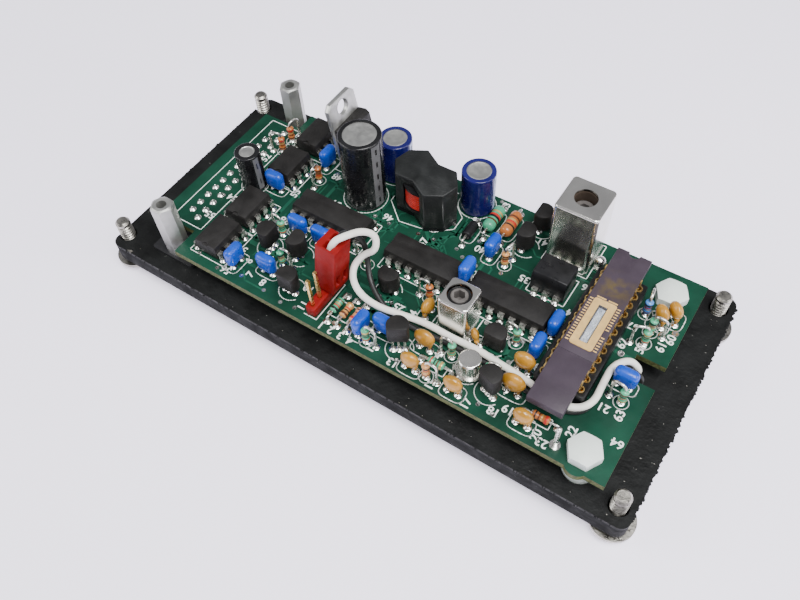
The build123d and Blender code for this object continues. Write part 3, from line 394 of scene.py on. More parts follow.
def mix_palette():
    """Every finish on the board, by the name that the pieces use."""
    colours = bpy.context.scene.sensor_board_colours
    palette.update({
        "plate": finish("plate_paint", colours.plate, 0.62, vary=0.5, patch=180, grain=900, bump=0.3,
                        sheen=0.05,
                        specks=((0.2, 0.2, 0.19), 900.0, 0.76)),
        "gasket": finish("gasket_sheet_black", (0.004, 0.0045, 0.0045), 0.6, vary=0.5, patch=200,
                         grain=1100,
                         bump=0.4, sheen=0.2, specks=((0.12, 0.12, 0.11), 1100.0, 0.76)),
        "zinc": finish("zinc_plate", (0.42, 0.4, 0.36), 0.34, metal=1.0, vary=0.35, patch=500, bump=0.2),
        "aluminium": finish("turned_aluminium", (0.5, 0.5, 0.48), 0.42, metal=0.9, vary=0.12, bump=0.05),
        "nylon": finish("milky_nylon", (0.72, 0.78, 0.74), 0.35, vary=0.06, patch=200, bump=0.05, soft=0.6),
        "lacquer": board_lacquer("board_lacquer", colours.lacquer, (0.12, 0.13, 0.05)),
        "trace": finish("copper_under_lacquer", [c * 1.8 + 0.003 for c in colours.lacquer], 0.4, vary=0.2,
                        bump=0.04, sheen=0.25),
        "ink": finish("white_ink", (0.8, 0.82, 0.79), 0.55, vary=0.12, patch=900, bump=0.05),
        "solder": finish("solder", (0.82, 0.81, 0.77), 0.2, metal=1.0, vary=0.25, patch=700, bump=0.12),
        "tinned": finish("tinned_wire", (0.78, 0.76, 0.7), 0.28, metal=1.0, vary=0.25, patch=800,
                         bump=0.03),
        "dull_tin": finish("dull_tin", (0.02, 0.02, 0.022), 0.5, vary=0.3, bump=0.1, sheen=0.2),
        "moulding": finish("moulded_package", colours.moulding, 0.55, vary=0.35, patch=220, grain=3500,
                           bump=0.22,
                           sheen=0.25),
        "smooth_black": finish("smooth_black", (0.007, 0.007, 0.008), 0.36, vary=0.3, patch=300,
                               bump=0.08, sheen=0.25),
        "gold": finish("gold_plate", (0.92, 0.62, 0.24), 0.28, metal=1.0, vary=0.2, patch=500, bump=0.1),
        "pale_gold": finish("pale_gold_seat", (0.95, 0.62, 0.24), 0.42, metal=0.6, vary=0.1, patch=500,
                            bump=0.06),
        "ceramic": stained_ceramic("sensor_ceramic", colours.ceramic, (0.09, 0.065, 0.025)),
        "glass": clear_glass("window_glass"),
        "die": finish("pale_die", (0.9, 0.93, 1.0), 0.4, vary=0.02, patch=900, bump=0.0),
        "can": finish("tin_plate", (0.86, 0.84, 0.79), 0.22, metal=1.0, vary=0.15, patch=120, grain=350,
                      bump=0.012,
                      rough_spread=0.06, specks=((0.4, 0.37, 0.32), 420.0, 0.76)),
        "ferrite": finish("ferrite", (0.11, 0.1, 0.095), 0.5, vary=0.3, patch=500, grain=2500, bump=0.3),
        "core": finish("core_black", (0.012, 0.013, 0.013), 0.42, vary=0.4, patch=260, grain=1600, bump=0.2,
                       sheen=0.3),
        "former": finish("coil_former", (0.05, 0.035, 0.025), 0.45, vary=0.3),
        "copper": finish("copper_wire", (0.55, 0.2, 0.08), 0.35, metal=0.9, vary=0.2),
        "red_wire": finish("red_wire", (0.5, 0.02, 0.012), 0.35, vary=0.3, patch=900, bump=0.2, coat=0.3),
        "blue_film": finish("blue_film", (0.006, 0.006, 0.1), 0.24, vary=0.25, patch=250, bump=0.06,
                            coat=0.2),
        "black_film": finish("black_film", (0.006, 0.006, 0.007), 0.26, vary=0.3, patch=250, bump=0.06,
                             coat=0.15),
        "grey_band": finish("grey_band", (0.12, 0.12, 0.125), 0.35, vary=0.1, bump=0.03),
        "pale_band": finish("pale_blue_band", (0.38, 0.45, 0.66), 0.35, vary=0.1, bump=0.03),
        "rubber": finish("bung_rubber", (0.02, 0.02, 0.02), 0.7, vary=0.2, bump=0.2),
        "chip": finish("blue_dip", colours.chip, 0.3, vary=0.18, patch=350, bump=0.06, coat=0.25),
        "bead": finish("amber_dip", colours.bead, 0.34, vary=0.22, patch=420, grain=1500, bump=0.12,
                       coat=0.4),
        "plug": finish("red_moulding", colours.plug, 0.5, vary=0.25, patch=240, grain=2500, bump=0.12,
                       sheen=0.16),
        "white_insulation": finish("white_insulation", (0.8, 0.78, 0.72), 0.45, vary=0.08, patch=400,
                                   bump=0.06),
        "black_insulation": finish("black_insulation", (0.02, 0.02, 0.02), 0.4, vary=0.3, patch=400,
                                   bump=0.08),
        "lacquer_green": finish("lacquer_green", (0.06, 0.36, 0.2), 0.3, vary=0.1, coat=0.4, bump=0.08),
        "lacquer_tan": finish("lacquer_tan", (0.55, 0.26, 0.08), 0.3, vary=0.1, coat=0.4, bump=0.08),
        "lacquer_pink": finish("lacquer_pink", (0.62, 0.24, 0.14), 0.3, vary=0.1, coat=0.4, bump=0.08),
        "lacquer_orange": finish("lacquer_orange", (0.42, 0.13, 0.03), 0.3, vary=0.1, coat=0.4, bump=0.08),
        "lacquer_blue": finish("lacquer_blue", (0.05, 0.2, 0.55), 0.3, vary=0.1, coat=0.4, bump=0.08),
        "band_brown": finish("band_brown", (0.1, 0.03, 0.012), 0.35, vary=0.1, bump=0.03),
        "band_black": finish("band_black", (0.012, 0.012, 0.012), 0.35, vary=0.1, bump=0.03),
        "band_red": finish("band_red", (0.5, 0.03, 0.02), 0.35, vary=0.1, bump=0.03),
        "band_gold": finish("band_gold", (0.75, 0.5, 0.18), 0.35, metal=0.6, vary=0.1, bump=0.03),
    })


# ---------------------------------------------------------------- the pieces


PLAIN_FINISHES = {
    "base_plate": ["plate"], "gasket_sheet": ["gasket"], "corner_washers": ["zinc"],
    "hex_standoffs": ["aluminium"],
    "standoff_screws": ["zinc"], "plastic_bolts": ["nylon"], "plastic_spacers": ["nylon"],
    "circuit_board": ["lacquer"], "connector_shell": ["dull_tin"], "connector_insulator": ["smooth_black"],
    "connector_contacts": ["gold"], "amplifier_leads": ["tinned"], "logic_leads": ["tinned"],
    "sensor_lid": ["pale_gold"], "sensor_window": ["glass"], "sensor_die": ["die"], "sensor_pins": ["gold"],
    "socket_contacts": ["gold"], "large_coil_can": ["can"], "large_coil_former": ["former"],
    "large_coil_winding": ["copper"], "large_tuning_slug": ["ferrite"], "small_coil_can": ["can"],
    "small_coil_former": ["smooth_black"], "small_coil_winding": ["copper"],
    "small_tuning_slug": ["ferrite"],
    "transformer_leads": ["tinned"], "inductor_bobbin": ["smooth_black"],
    "black_capacitor_sleeves": ["black_film"],
    "blue_capacitor_sleeves": ["blue_film"], "capacitor_cans": ["can"], "capacitor_bungs": ["rubber"],
    "regulator_leads": ["tinned"], "transistor_leads": ["tinned"], "metal_transistor_header": ["tinned"],
    "metal_transistor_can": ["can"], "diode_bodies": ["smooth_black"], "component_leads": ["tinned"],
    "test_pins": ["solder"], "header_pins": ["gold"], "plug_contacts": ["tinned"],
}

EASED = [
    ("amplifier_packages", 0.14, "black_moulding", "moulding"),
    ("logic_packages", 0.14, "black_moulding", "moulding"),
    ("transformer_module", 0.18, "black_moulding", "smooth_black"),
    ("transistor_bodies", 0.16, "black_moulding", "moulding"),
    ("regulator_body", 0.2, "black_moulding", "moulding"),
    ("regulator_tab", 0.1, "tinned", "aluminium"),
    ("inductor_core", 0.25, "ferrite", "core"),
    ("sensor_body", 0.12, "purple_ceramic", "ceramic"),
    ("sensor_socket", 0.12, "black_moulding", "smooth_black"),
    ("plug_housing", 0.16, "red_plastic", "plug"),
    ("header_base", 0.14, "red_plastic", "plug"),
]


def plain_finishes():
    for node, materials in PLAIN_FINISHES.items():
        dress(frame["nodes"][node], *materials)
        mesh = frame["nodes"][node].data
        mesh.update()


def eased_packages():
    for node, width, slot, material in EASED:
        softened(node, width, slot, material)


def corner_screws():
    """Screws whose shanks carry a real thread profile and whose heads have a hexagon socket."""
    pitch = sizes().thread_pitch / MM
    low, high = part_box("corner_screws")
    rise = (high.z - low.z) / MM
    head, head_top, outer, root = 3.45, 2.1, 1.75, 1.45
    steps, socket, socket_depth = 24, 1.75, 1.1
    profile = [(socket + 0.25, 0), (head - 0.7, 0), (head - 0.2, 0.2), (head, 0.8), (head, head_top),
               (outer, head_top)]
    z = head_top + 0.3
    while z + pitch < rise - 0.6:
        profile += [(outer, z), (outer, z + pitch * 0.15), (root, z + pitch * 0.5),
                    (outer, z + pitch * 0.9)]
        z += pitch
    profile += [(outer, rise - 0.5), (outer - 0.45, rise), (0, rise)]
    screw = turned(profile, steps)
    rim = [e for e in screw.edges if e.is_boundary]
    ring = bmesh.ops.extrude_edge_only(screw, edges=rim)["geom"]
    inner = [g for g in ring if isinstance(g, bmesh.types.BMVert)]
    for vert in inner:
        angle = math.atan2(vert.co.y, vert.co.x)
        reach = socket / math.cos((angle % (math.pi / 3)) - math.pi / 6) * math.cos(math.pi / 6)
        vert.co = Vector((math.cos(angle) * reach * MM, math.sin(angle) * reach * MM, 0))
    edges = [g for g in ring if isinstance(g, bmesh.types.BMEdge)]
    wall = bmesh.ops.extrude_edge_only(screw, edges=edges)["geom"]
    floor = [g for g in wall if isinstance(g, bmesh.types.BMVert)]
    bmesh.ops.translate(screw, vec=(0, 0, socket_depth * MM), verts=floor)
    bmesh.ops.holes_fill(screw, edges=[e for e in screw.edges if e.is_boundary], sides=0)
    bmesh.ops.recalc_face_normals(screw, faces=screw.faces)
    work = bmesh.new()
    for points in islands("corner_screws"):
        low, high = limits(points)
        middle = (low + high) / 2
        stamp(work, screw, Matrix.Translation((middle.x, middle.y, low.z)))
    screw.free()
    piece = add_piece("corner_studs_threaded", work, "root", "steel", "zinc", smooth=25)
    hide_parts("corner_screws")


def solder_joints():
    """A concave cone of solder at the foot of every lead, with a bare ring of the pad round it."""
    r = sizes().solder_radius / MM
    joint = turned([(r * 1.12, 0.0), (r * 1.12, 0.04), (r, 0.07), (r * 0.75, 0.2), (r * 0.5, 0.42),
                    (0, 0.5)], 14)
    work = bmesh.new()
    for node in ("component_leads", "transistor_leads", "amplifier_leads", "logic_leads",
                 "transformer_leads",
                 "header_pins", "regulator_leads"):
        for points in islands(node):
            place = foot(points)
            stamp(work, joint, Matrix.Translation((place.x, place.y, BOARD_TOP)))
    for points in islands("connector_contacts"):
        low, high = limits(points)
        middle = (low + high) / 2
        stamp(work, joint, Matrix.Translation((middle.x, middle.y, BOARD_TOP)))
        stamp(work, joint, Matrix.Translation((middle.x, middle.y, BOARD_TOP)) @ Matrix.Diagonal((0.55,
                                                                                                  0.55,
                                                                                                  2.1, 1)))
    joint.free()
    add_piece("solder_joints", work, "root", "tinned", "solder", smooth=60)


def stray_pads():
    """Plated holes between the traces, flat rings of solder with a dimple."""
    ring = turned([(0.5, 0.0), (0.5, 0.06), (0.3, 0.07), (0.2, 0.03), (0, 0.03)], 12)
    draw = random.Random(7)
    work = bmesh.new()
    rows = [(x, y) for x in range(2, 88, 4) for y in (-25, -14, -7, 3, 6, 12, 24)]
    for x, y in rows:
        if draw.random() < 0.55:
            place = at(x + draw.uniform(-1.5, 1.5), y + draw.uniform(-1, 1))
            if abs(place.y - CONNECTOR.y) < 19 * MM or x > 6:
                stamp(work, ring, Matrix.Translation(place))
    for x, y in ((101.9, 4.3), (106.9, 9.2), (109.2, 11.0), (101.6, 15.7), (101.6, 12.7), (101.6, 0.7)):
        stamp(work, ring, Matrix.Translation(at(x, y)) @ Matrix.Scale(1.5, 4))
    ring.free()
    add_piece("plated_holes", work, "root", "tinned", "solder", smooth=60)


def copper_traces():
    """Raised traces under the lacquer that jog at 45 degrees, at a few set widths."""
    draw = random.Random(21)
    bar = rounded_block((1.0, 1.0, 1.0), 0.02, 1)
    work = bmesh.new()
    low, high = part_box("circuit_board")

    def run(start, end, width):
        along = end - start
        turn = Matrix.Rotation(math.atan2(along.y, along.x), 4, "Z")
        size = Matrix.Diagonal((along.length / MM + width, width, 0.035, 1))
        stamp(work, bar, Matrix.Translation((start + end) / 2) @ turn @ size)

    for _ in range(sizes().trace_count):
        x, y = draw.uniform(9, 100), draw.uniform(-24.5, 23.0)
        width = draw.choice((0.3, 0.3, 0.4, 0.8))
        first = draw.uniform(3, 12)
        jog = draw.uniform(1.0, 3.0) * draw.choice((-1, 1))
        reach = x + first + abs(jog)
        points = [(x, y), (x + first, y), (reach, y + jog), (reach + first * 0.6, y + jog)]
        if draw.random() < 0.45:
            points = [(x + (b - y), y + (a - x)) for a, b in points]
        places = [at(a, b, 0.005) for a, b in points]
        inside = all(low.x + 2 * MM < p.x < high.x - 7 * MM and low.y + 1.5 * MM < p.y < high.y - 1.5 * MM
                     for p in places)
        if inside:
            for start, end in zip(places, places[1:]):
                run(start, end, width)
    bar.free()
    add_piece("copper_traces", work, "root", "solder_mask", "trace")


def printed_line(work, points, width, closed=False):
    """A flat printed line through points on the board."""
    places = [at(x, y, 0.05) for x, y in points]
    pairs = list(zip(places, places[1:]))
    if closed:
        pairs.append((places[-1], places[0]))
    for start, end in pairs:
        along = end - start
        turn = Matrix.Rotation(math.atan2(along.y, along.x), 4, "Z")
        size = Matrix.Diagonal((along.length + width * MM, width * MM, 1, 1))
        bmesh.ops.create_grid(work, x_segments=1, y_segments=1, size=0.5,
                              matrix=Matrix.Translation((start + end) / 2) @ turn @ size)


def circle_points(x, y, radius, start=0.0, end=math.tau, steps=26):
    return [(x + radius * math.cos(start + (end - start) * i / steps),
             y + radius * math.sin(start + (end - start) * i / steps)) for i in range(steps + 1)]


def in_board(vector):
    """Back from the row frame to millimetres from the connector."""
    return (vector.x - CONNECTOR.x) / MM, (vector.y - CONNECTOR.y) / MM


def printed_outlines():
    """White outlines round each part: rings, boxes and brackets."""
    width = sizes().mark_width / MM
    work = bmesh.new()
    for points in islands("resistor_bodies"):
        low, high = limits(points)
        x, y = in_board((low + high) / 2)
        dx, dy = (high.x - low.x) / MM, (high.y - low.y) / MM
        if max(dx, dy) < 2.5:
            printed_line(work, circle_points(x, y, 1.55), width)
        else:
            box = [(x - dx / 2 - 0.3, y - dy / 2 - 0.3), (x + dx / 2 + 0.3, y - dy / 2 - 0.3),
                   (x + dx / 2 + 0.3, y + dy / 2 + 0.3), (x - dx / 2 - 0.3, y + dy / 2 + 0.3)]
            printed_line(work, box, width, closed=True)
    for node, margin in (("blue_chip_capacitors", 0.5), ("bead_capacitors", 0.6), ("diode_bodies", 0.5),
                         ("choke_bodies", 0.4)):
        for points in islands(node):
            low, high = limits(points)
            x, y = in_board((low + high) / 2)
            dx, dy = (high.x - low.x) / MM / 2 + margin, (high.y - low.y) / MM / 2 + margin
            ellipse = [(x + dx * math.copysign(abs(math.cos(a)) ** 0.5, math.cos(a)),
                        y + dy * math.copysign(abs(math.sin(a)) ** 0.5, math.sin(a)))
                       for a in [math.tau * i / 28 for i in range(29)]]
            printed_line(work, ellipse, width)
    for node in ("transistor_bodies", "metal_transistor_header"):
        for points in islands(node):
            low, high = limits(points)
            x, y = in_board((low + high) / 2)
            printed_line(work, circle_points(x, y, 3.0, 0.4, 5.6), width)
    for node, gap in (("black_capacitor_sleeves", 0.4), ("blue_capacitor_sleeves", 0.5)):
        for points in islands(node):
            low, high = limits(points)
            x, y = in_board((low + high) / 2)
            printed_line(work, circle_points(x, y, (high.x - low.x) / MM / 2 + gap, steps=40), width)
    for node, gap in (("amplifier_packages", 1.9), ("logic_packages", 1.9), ("transformer_module", 0.7),
                      ("large_coil_can", 0.3), ("small_coil_can", 0.5), ("regulator_body", 1.0)):
        for points in islands(node):
            low, high = limits(points)
            x0, y0 = in_board(low)
            x1, y1 = in_board(high)
            long_x = x1 - x0 > y1 - y0
            gx, gy = (0.5, gap) if long_x else (gap, 0.5)
            box = [(x0 - gx, y0 - gy), (x1 + gx, y0 - gy), (x1 + gx, y1 + gy), (x0 - gx, y1 + gy)]
            printed_line(work, box, width, closed=True)
    ring = [(37.9, 13.2), (38.0, 11.7), (43.2, 7.1), (51.9, 8.4), (54.0, 10.4), (55.5, 11.6),
            (55.4, 15.6), (52.4, 18.2)]
    printed_line(work, ring, width)
    for y in (-25.4, -14.6):
        printed_line(work, [(40.0, y), (43.0, y)], width)
    printed_line(work, [(43.2, -25.4), (43.2, -14.6)], width)
    printed_line(work, [(-4.2, -19.2), (4.6, -19.2), (4.6, 19.2), (-4.2, 19.2)], width, closed=True)
    add_piece("printed_outlines", work, "root", "white_insulation", "ink", keep_normals=True)


def printed_numbers():
    """Plain reference numbers beside the parts."""
    height = sizes().mark_height / MM
    work = bmesh.new()
    count = 0

    def number(x, y, turn):
        nonlocal count
        count += 1
        curve = bpy.data.curves.new("number", "FONT")
        curve.body = str(count)
        curve.size = height * 1.35 * MM
        curve.offset = 0.05 * MM
        curve.resolution_u = 3
        curve.align_x = "CENTER"
        curve.align_y = "CENTER"
        text = bpy.data.objects.new("number", curve)
        bpy.context.scene.collection.objects.link(text)
        bpy.context.view_layer.update()
        mesh = bpy.data.meshes.new_from_object(text)
        mesh.transform(Matrix.Translation(at(x, y, 0.05)) @ Matrix.Rotation(math.radians(turn), 4, "Z"))
        work.from_mesh(mesh)
        bpy.data.meshes.remove(mesh)
        bpy.data.objects.remove(text)
        bpy.data.curves.remove(curve)

    for i in range(4):
        number(44.9 + i * 2.5, -25.9, 180)
    for x, y in ((17.5, -18.6), (20.5, -20.5), (23.2, -23.4), (27.0, -23.6), (31.0, -17.9), (36.9, -19.6),
                 (38.6, -24.0),
                 (57.3, -24.9), (63.0, -25.6), (70.2, -20.0), (72.4, -25.9), (75.4, -22.0), (80.6, -25.9),
                 (86.0, -24.5), (88.3, -22.6), (95.4, -24.6), (103.8, -12.4), (100.9, -20.4), (97.0, -25.4),
                 (60.2, -13.7), (56.6, -13.4), (48.3, -6.4), (36.8, -11.0), (20.0, -6.6), (17.4, -10.6),
                 (64.6, -5.9),
                 (76.0, -16.9), (79.8, -14.0), (88.0, -11.0), (88.9, 4.4), (76.0, 7.4), (88.8, 12.2),
                 (90.9, 22.0),
                 (58.6, 16.2), (69.6, 12.6), (63.6, 9.6), (74.6, 18.8), (75.6, 23.8), (62.4, 23.9),
                 (50.0, 20.9),
                 (42.5, 21.4), (40.4, 6.8), (51.5, 4.6), (22.4, 11.2), (17.0, 18.5), (13.0, 24.3),
                 (27.2, 4.0),
                 (3.0, 7.4), (16.9, 1.6), (4.4, -7.4), (3.4, -14.4), (17.5, -25.2), (101.0, 8.2),
                 (104.6, 4.0),
                 (106.4, 16.2), (109.0, 9.0), (108.0, 6.4), (100.9, 3.1), (107.2, -12.4), (109.2, -18.0)):
        number(x, y, 180 if int(x + y) % 2 else 90)
    add_piece("printed_numbers", work, "root", "white_insulation", "ink", keep_normals=True)


LACQUERS = ["lacquer_green", "lacquer_tan", "lacquer_pink", "lacquer_orange", "lacquer_blue"]
BANDS = ["band_brown", "band_black", "band_red", "band_gold"]


def banded_resistor():
    """A moulded resistor body on the Z axis, centred, with rings ready to be coloured as bands."""
    stations = [(0, -1.9), (0.35, -1.88), (0.72, -1.75), (0.9, -1.5), (0.9, -1.25), (0.88, -0.95),
                (0.76, -0.75),
                (0.74, -0.45), (0.74, -0.15), (0.74, 0.15), (0.74, 0.45), (0.76, 0.75), (0.88, 0.95),
                (0.9, 1.25),
                (0.9, 1.5), (0.72, 1.75), (0.35, 1.88), (0, 1.9)]
    return turned(stations, 18)


BAND_HEIGHTS = [(1.25, 0), (0.3, 1), (-0.3, 2), (-1.1, 3)]


def resistors():
    """Resistors with four colour bands each, lying or standing as their bodies do."""
    shape = banded_resistor()
    work = bmesh.new()
    draw = random.Random(5)
    lying_lacquers = [0, 1, 2, 0, 3]
    lying = 0
    for points in islands("resistor_bodies"):
        low, high = limits(points)
        size = high - low
        middle = (low + high) / 2
        x, y = in_board(middle)
        upright = size.z > 3 * MM
        if upright:
            turn = Matrix.Identity(4)
            lacquer = standing_lacquer(x, y)
        else:
            turn = Matrix.Rotation(math.pi / 2, 4, "Y") if size.x > size.y else Matrix.Rotation(math.pi / 2, 4, "X")
            lacquer = lying_lacquers[lying % len(lying_lacquers)]
            lying += 1
        shift = draw.randrange(len(BANDS))
        for face in shape.faces:
            z = face.calc_center_median().z / MM
            face.material_index = lacquer
            for height, band in BAND_HEIGHTS:
                if abs(z - height) < 0.16:
                    face.material_index = len(LACQUERS) + (band + shift) % len(BANDS)
        stamp(work, shape, Matrix.Translation(middle) @ turn)
    shape.free()
    piece = add_piece("banded_resistors", work, "root", "resistor_lacquer", *LACQUERS, *BANDS, smooth=50)
    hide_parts("resistor_bodies")


def standing_lacquer(x, y):
    """The body colour of a standing resistor: browns to the left, greens to the right."""
    if x < 22:
        return 3
    if x > 100 and y > 10:
        return 4
    if 69 < x < 72 and (y < -22 or y > 5):
        return 1
    if 59 < x < 62:
        return 3
    return 0


def chokes():
    """Lacquered chokes with bands, and one in orange."""
    shape = turned([(0, -3.5), (0.9, -3.45), (1.35, -3.1), (1.5, -2.6), (1.46, -1.6), (1.42, -1.1),
                    (1.42, -0.6),
                    (1.42, 0), (1.42, 0.6), (1.42, 1.1), (1.46, 1.6), (1.5, 2.6), (1.35, 3.1),
                    (0.9, 3.45), (0, 3.5)], 22)
    work = bmesh.new()
    for index, points in enumerate(islands("choke_bodies")):
        low, high = limits(points)
        for face in shape.faces:
            z = face.calc_center_median().z / MM
            face.material_index = 0 if index == 0 else 3
            for height, band in ((1.35, 0), (0.3, 1), (-0.3, 2), (-1.35, 3)):
                if abs(z - height) < 0.31:
                    face.material_index = len(LACQUERS) + (band + index) % len(BANDS)
        stamp(work, shape, Matrix.Translation((low + high) / 2) @ Matrix.Rotation(math.pi / 2, 4, "X"))
    shape.free()
    piece = add_piece("banded_chokes", work, "root", "resistor_lacquer", *LACQUERS, *BANDS, smooth=50)
    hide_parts("choke_bodies")


def chip_capacitors():
    """Dipped capacitors: pillow shapes that draw in towards their legs."""
    work = bmesh.new()
    for points in islands("blue_chip_capacitors"):
        low, high = limits(points)
        size = (high - low) / MM
        long_side, thick = max(size.x, size.y), min(size.x, size.y)
        shape = rounded_block((long_side, thick, size.z), thick * 0.46, 5)
        for vert in shape.verts:
            fall = max(0.0, -vert.co.z / (size.z * MM / 2))
            vert.co.x *= 1 - 0.1 * fall**2
            vert.co.y *= 1 - 0.15 * fall**2
            bulge = 1 + 0.06 * (1 - (vert.co.x / (long_side * MM / 2)) ** 2)
            vert.co.y *= bulge * 0.97
        turn = 0 if size.x > size.y else math.pi / 2
        stamp(work, shape, Matrix.Translation((low + high) / 2) @ Matrix.Rotation(turn, 4, "Z"))
        shape.free()
    piece = add_piece("dipped_chip_capacitors", work, "root", "blue_epoxy", "chip", smooth=60)
    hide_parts("blue_chip_capacitors")


def bead_capacitors():
    """Dipped beads: flattened drops with a small run of dip down each leg."""
    work = bmesh.new()
    for points in islands("bead_capacitors"):
        low, high = limits(points)
        size = (high - low) / MM
        radius = size.z / 2
        shape = bmesh.new()
        bmesh.ops.create_uvsphere(shape, u_segments=28, v_segments=18, radius=radius * MM)
        for vert in shape.verts:
            z = vert.co.z / (radius * MM)
            vert.co.y *= 0.62 if radius < 2.3 else 0.56
            vert.co.x *= 1 + 0.04 * math.sin(3 * z)
            if z < -0.3:
                vert.co.x *= 1 - 0.12 * (-0.3 - z)
            wobble = noise.noise(vert.co * 900)
            vert.co *= 1 + 0.025 * wobble
        if size.x - size.y > 0.3:
            turn = 0.0
        elif size.y - size.x > 0.3:
            turn = math.pi / 2
        else:
            turn = math.radians(135)
        middle = (low + high) / 2
        stamp(work, shape, Matrix.Translation(middle) @ Matrix.Rotation(turn, 4, "Z"))
        shape.free()
        run = turned([(0, 0.6), (0.55, 0.4), (0.45, -0.2), (0.36, -0.7), (0.33, -0.95), (0, -0.95)], 12)
        for side in (-1, 1):
            drop = math.sqrt(max(0.1, radius**2 - 0.97**2))
            offset = Vector((side * 1.27 * MM * math.cos(turn), side * 1.27 * MM * math.sin(turn),
                             -drop * MM))
            stamp(work, run, Matrix.Translation(middle + offset))
        run.free()
    piece = add_piece("dipped_bead_capacitors", work, "root", "amber_epoxy", "bead", smooth=60)
    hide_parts("bead_capacitors")


def capacitor_bands():
    """The polarity band with its dashes on each upright capacitor, and a scored top on each can."""
    work = bmesh.new()
    tops = bmesh.new()
    for node, facing, spread, band, dash in (("black_capacitor_sleeves", -0.2, 0.5, 0, 2),
                                             ("blue_capacitor_sleeves", 0.2, 0.42, 1, 2)):
        for points in islands(node):
            low, high = limits(points)
            middle = (low + high) / 2
            radius = (high.x - low.x) / 2 + 0.02 * MM
            bottom, top = low.z + 0.5 * MM, high.z - 0.5 * MM

            def patch(a0, a1, z0, z1, index, lift):
                verts = [work.verts.new((middle.x + (radius + lift) * math.cos(a0),
                                         middle.y + (radius + lift) * math.sin(a0), z)) for z in (z0, z1)]
                edge = work.edges.new(verts)
                bmesh.ops.spin(work, geom=verts + [edge], cent=middle, axis=(0, 0, 1), steps=8,
                               angle=a1 - a0,
                               use_merge=False)
                for face in work.faces:
                    if not face.tag:
                        face.tag = True
                        face.material_index = index

            patch(facing - spread / 2, facing + spread / 2, bottom, top, band, 0)
            count = max(2, int((top - bottom) / (3.4 * MM)))
            for i in range(count):
                z = bottom + (i + 0.5) * (top - bottom) / count
                patch(facing - 0.05, facing + 0.05, z - 0.8 * MM, z + 0.8 * MM, dash, 0.015 * MM)
            inner = (high.x - low.x) / 2 / MM - 1.12
            disc = turned([(inner, 0.0), (inner, 0.08), (inner * 0.9, 0.14), (inner * 0.82, 0.05),
                           (inner * 0.3, 0.09),
                           (0, 0.1)], 32)
            stamp(tops, disc, Matrix.Translation((middle.x, middle.y, high.z - 0.19 * MM)))
            disc.free()
    add_piece("polarity_bands", work, "root", "black_sleeve", "grey_band", "pale_band", "band_black",
              smooth=60)
    add_piece("capacitor_tops", tops, "root", "aluminium", "aluminium", smooth=30)


def bond_fingers():
    """Plated fingers on the ceramic beside the window seat."""
    low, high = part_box("sensor_lid")
    finger = rounded_block((0.75, 0.3, 0.06), 0.02, 1)
    work = bmesh.new()
    count = 17
    for side in (-1, 1):
        edge = low.x if side < 0 else high.x
        for i in range(count):
            if 5 < i < 8 and side > 0:
                continue
            y = low.y + (i + 0.8) * (high.y - low.y) / (count + 0.6)
            stamp(work, finger, Matrix.Translation((edge + side * 0.55 * MM, y, low.z + 0.03 * MM)))
    finger.free()
    corner = rounded_block((2.0, 0.35, 0.06), 0.02, 1)
    for x in (low.x + 1.2 * MM, high.x - 1.2 * MM):
        stamp(work, corner, Matrix.Translation((x, high.y + 0.45 * MM, low.z + 0.03 * MM)))
    corner.free()
    add_piece("bond_fingers", work, "root", "gold", "pale_gold")


def inductor_turns():
    """The red winding as turns of wire, one above the other."""
    low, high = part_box("inductor_winding")
    middle = (low + high) / 2
    radius = (high.x - low.x) / 2 / MM
    wire = 0.32
    profile = []
    z = wire
    height = (high.z - low.z) / MM
    while z < height - wire:
        profile += [(radius - wire + wire * math.cos(a), z + wire * math.sin(a)) for a in (-1.3, -0.65, 0,
                                                                                           0.65, 1.3)]
        z += 2 * wire
    inner = radius - 1.6
    ends = [(radius - wire, height), (inner, height), (inner, 0.05)]
    shape = turned([(inner, 0.05), (radius - wire, 0.05)] + profile + ends, 48)
    work = bmesh.new()
    stamp(work, shape, Matrix.Translation((middle.x, middle.y, low.z)))
    shape.free()
    piece = add_piece("inductor_turns", work, "root", "winding", "red_wire", smooth=60)
    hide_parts("inductor_winding")


def gasket_crumbs():
    """Torn lumps along the gasket's rim, thickest at the right end."""
    low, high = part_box("gasket_sheet")
    draw = random.Random(11)
    lump = bmesh.new()
    bmesh.ops.create_icosphere(lump, subdivisions=1, radius=0.5 * MM)
    work = bmesh.new()

    def crumb(x, y, size):
        squash = Matrix.Diagonal((size * draw.uniform(0.7, 1.5), size * draw.uniform(0.7, 1.5),
                                  size * 0.9, 1))
        turn = Euler((draw.uniform(0, 6), draw.uniform(0, 6), draw.uniform(0, 6))).to_matrix().to_4x4()
        place = Matrix.Translation((x, y, PLATE_TOP + draw.uniform(0.2, 0.65) * MM))
        stamp(work, lump, place @ squash @ turn)

    for _ in range(260):
        crumb(high.x + draw.uniform(-0.5, 0.1) * MM, draw.uniform(low.y + 2 * MM, high.y - 2 * MM),
              draw.uniform(0.4, 0.8))
    for side in (low.y, high.y):
        for _ in range(150):
            crumb(draw.uniform(low.x + 2 * MM, high.x - 2 * MM), side + draw.uniform(-0.1, 0.1) * MM,
                  draw.uniform(0.2, 0.4))
    for _ in range(70):
        crumb(low.x + draw.uniform(-0.1, 0.2) * MM, draw.uniform(low.y + 2 * MM, high.y - 2 * MM),
              draw.uniform(0.4, 0.8))
    lump.free()
    add_piece("gasket_crumbs", work, "root", "gasket", "gasket", smooth=30)


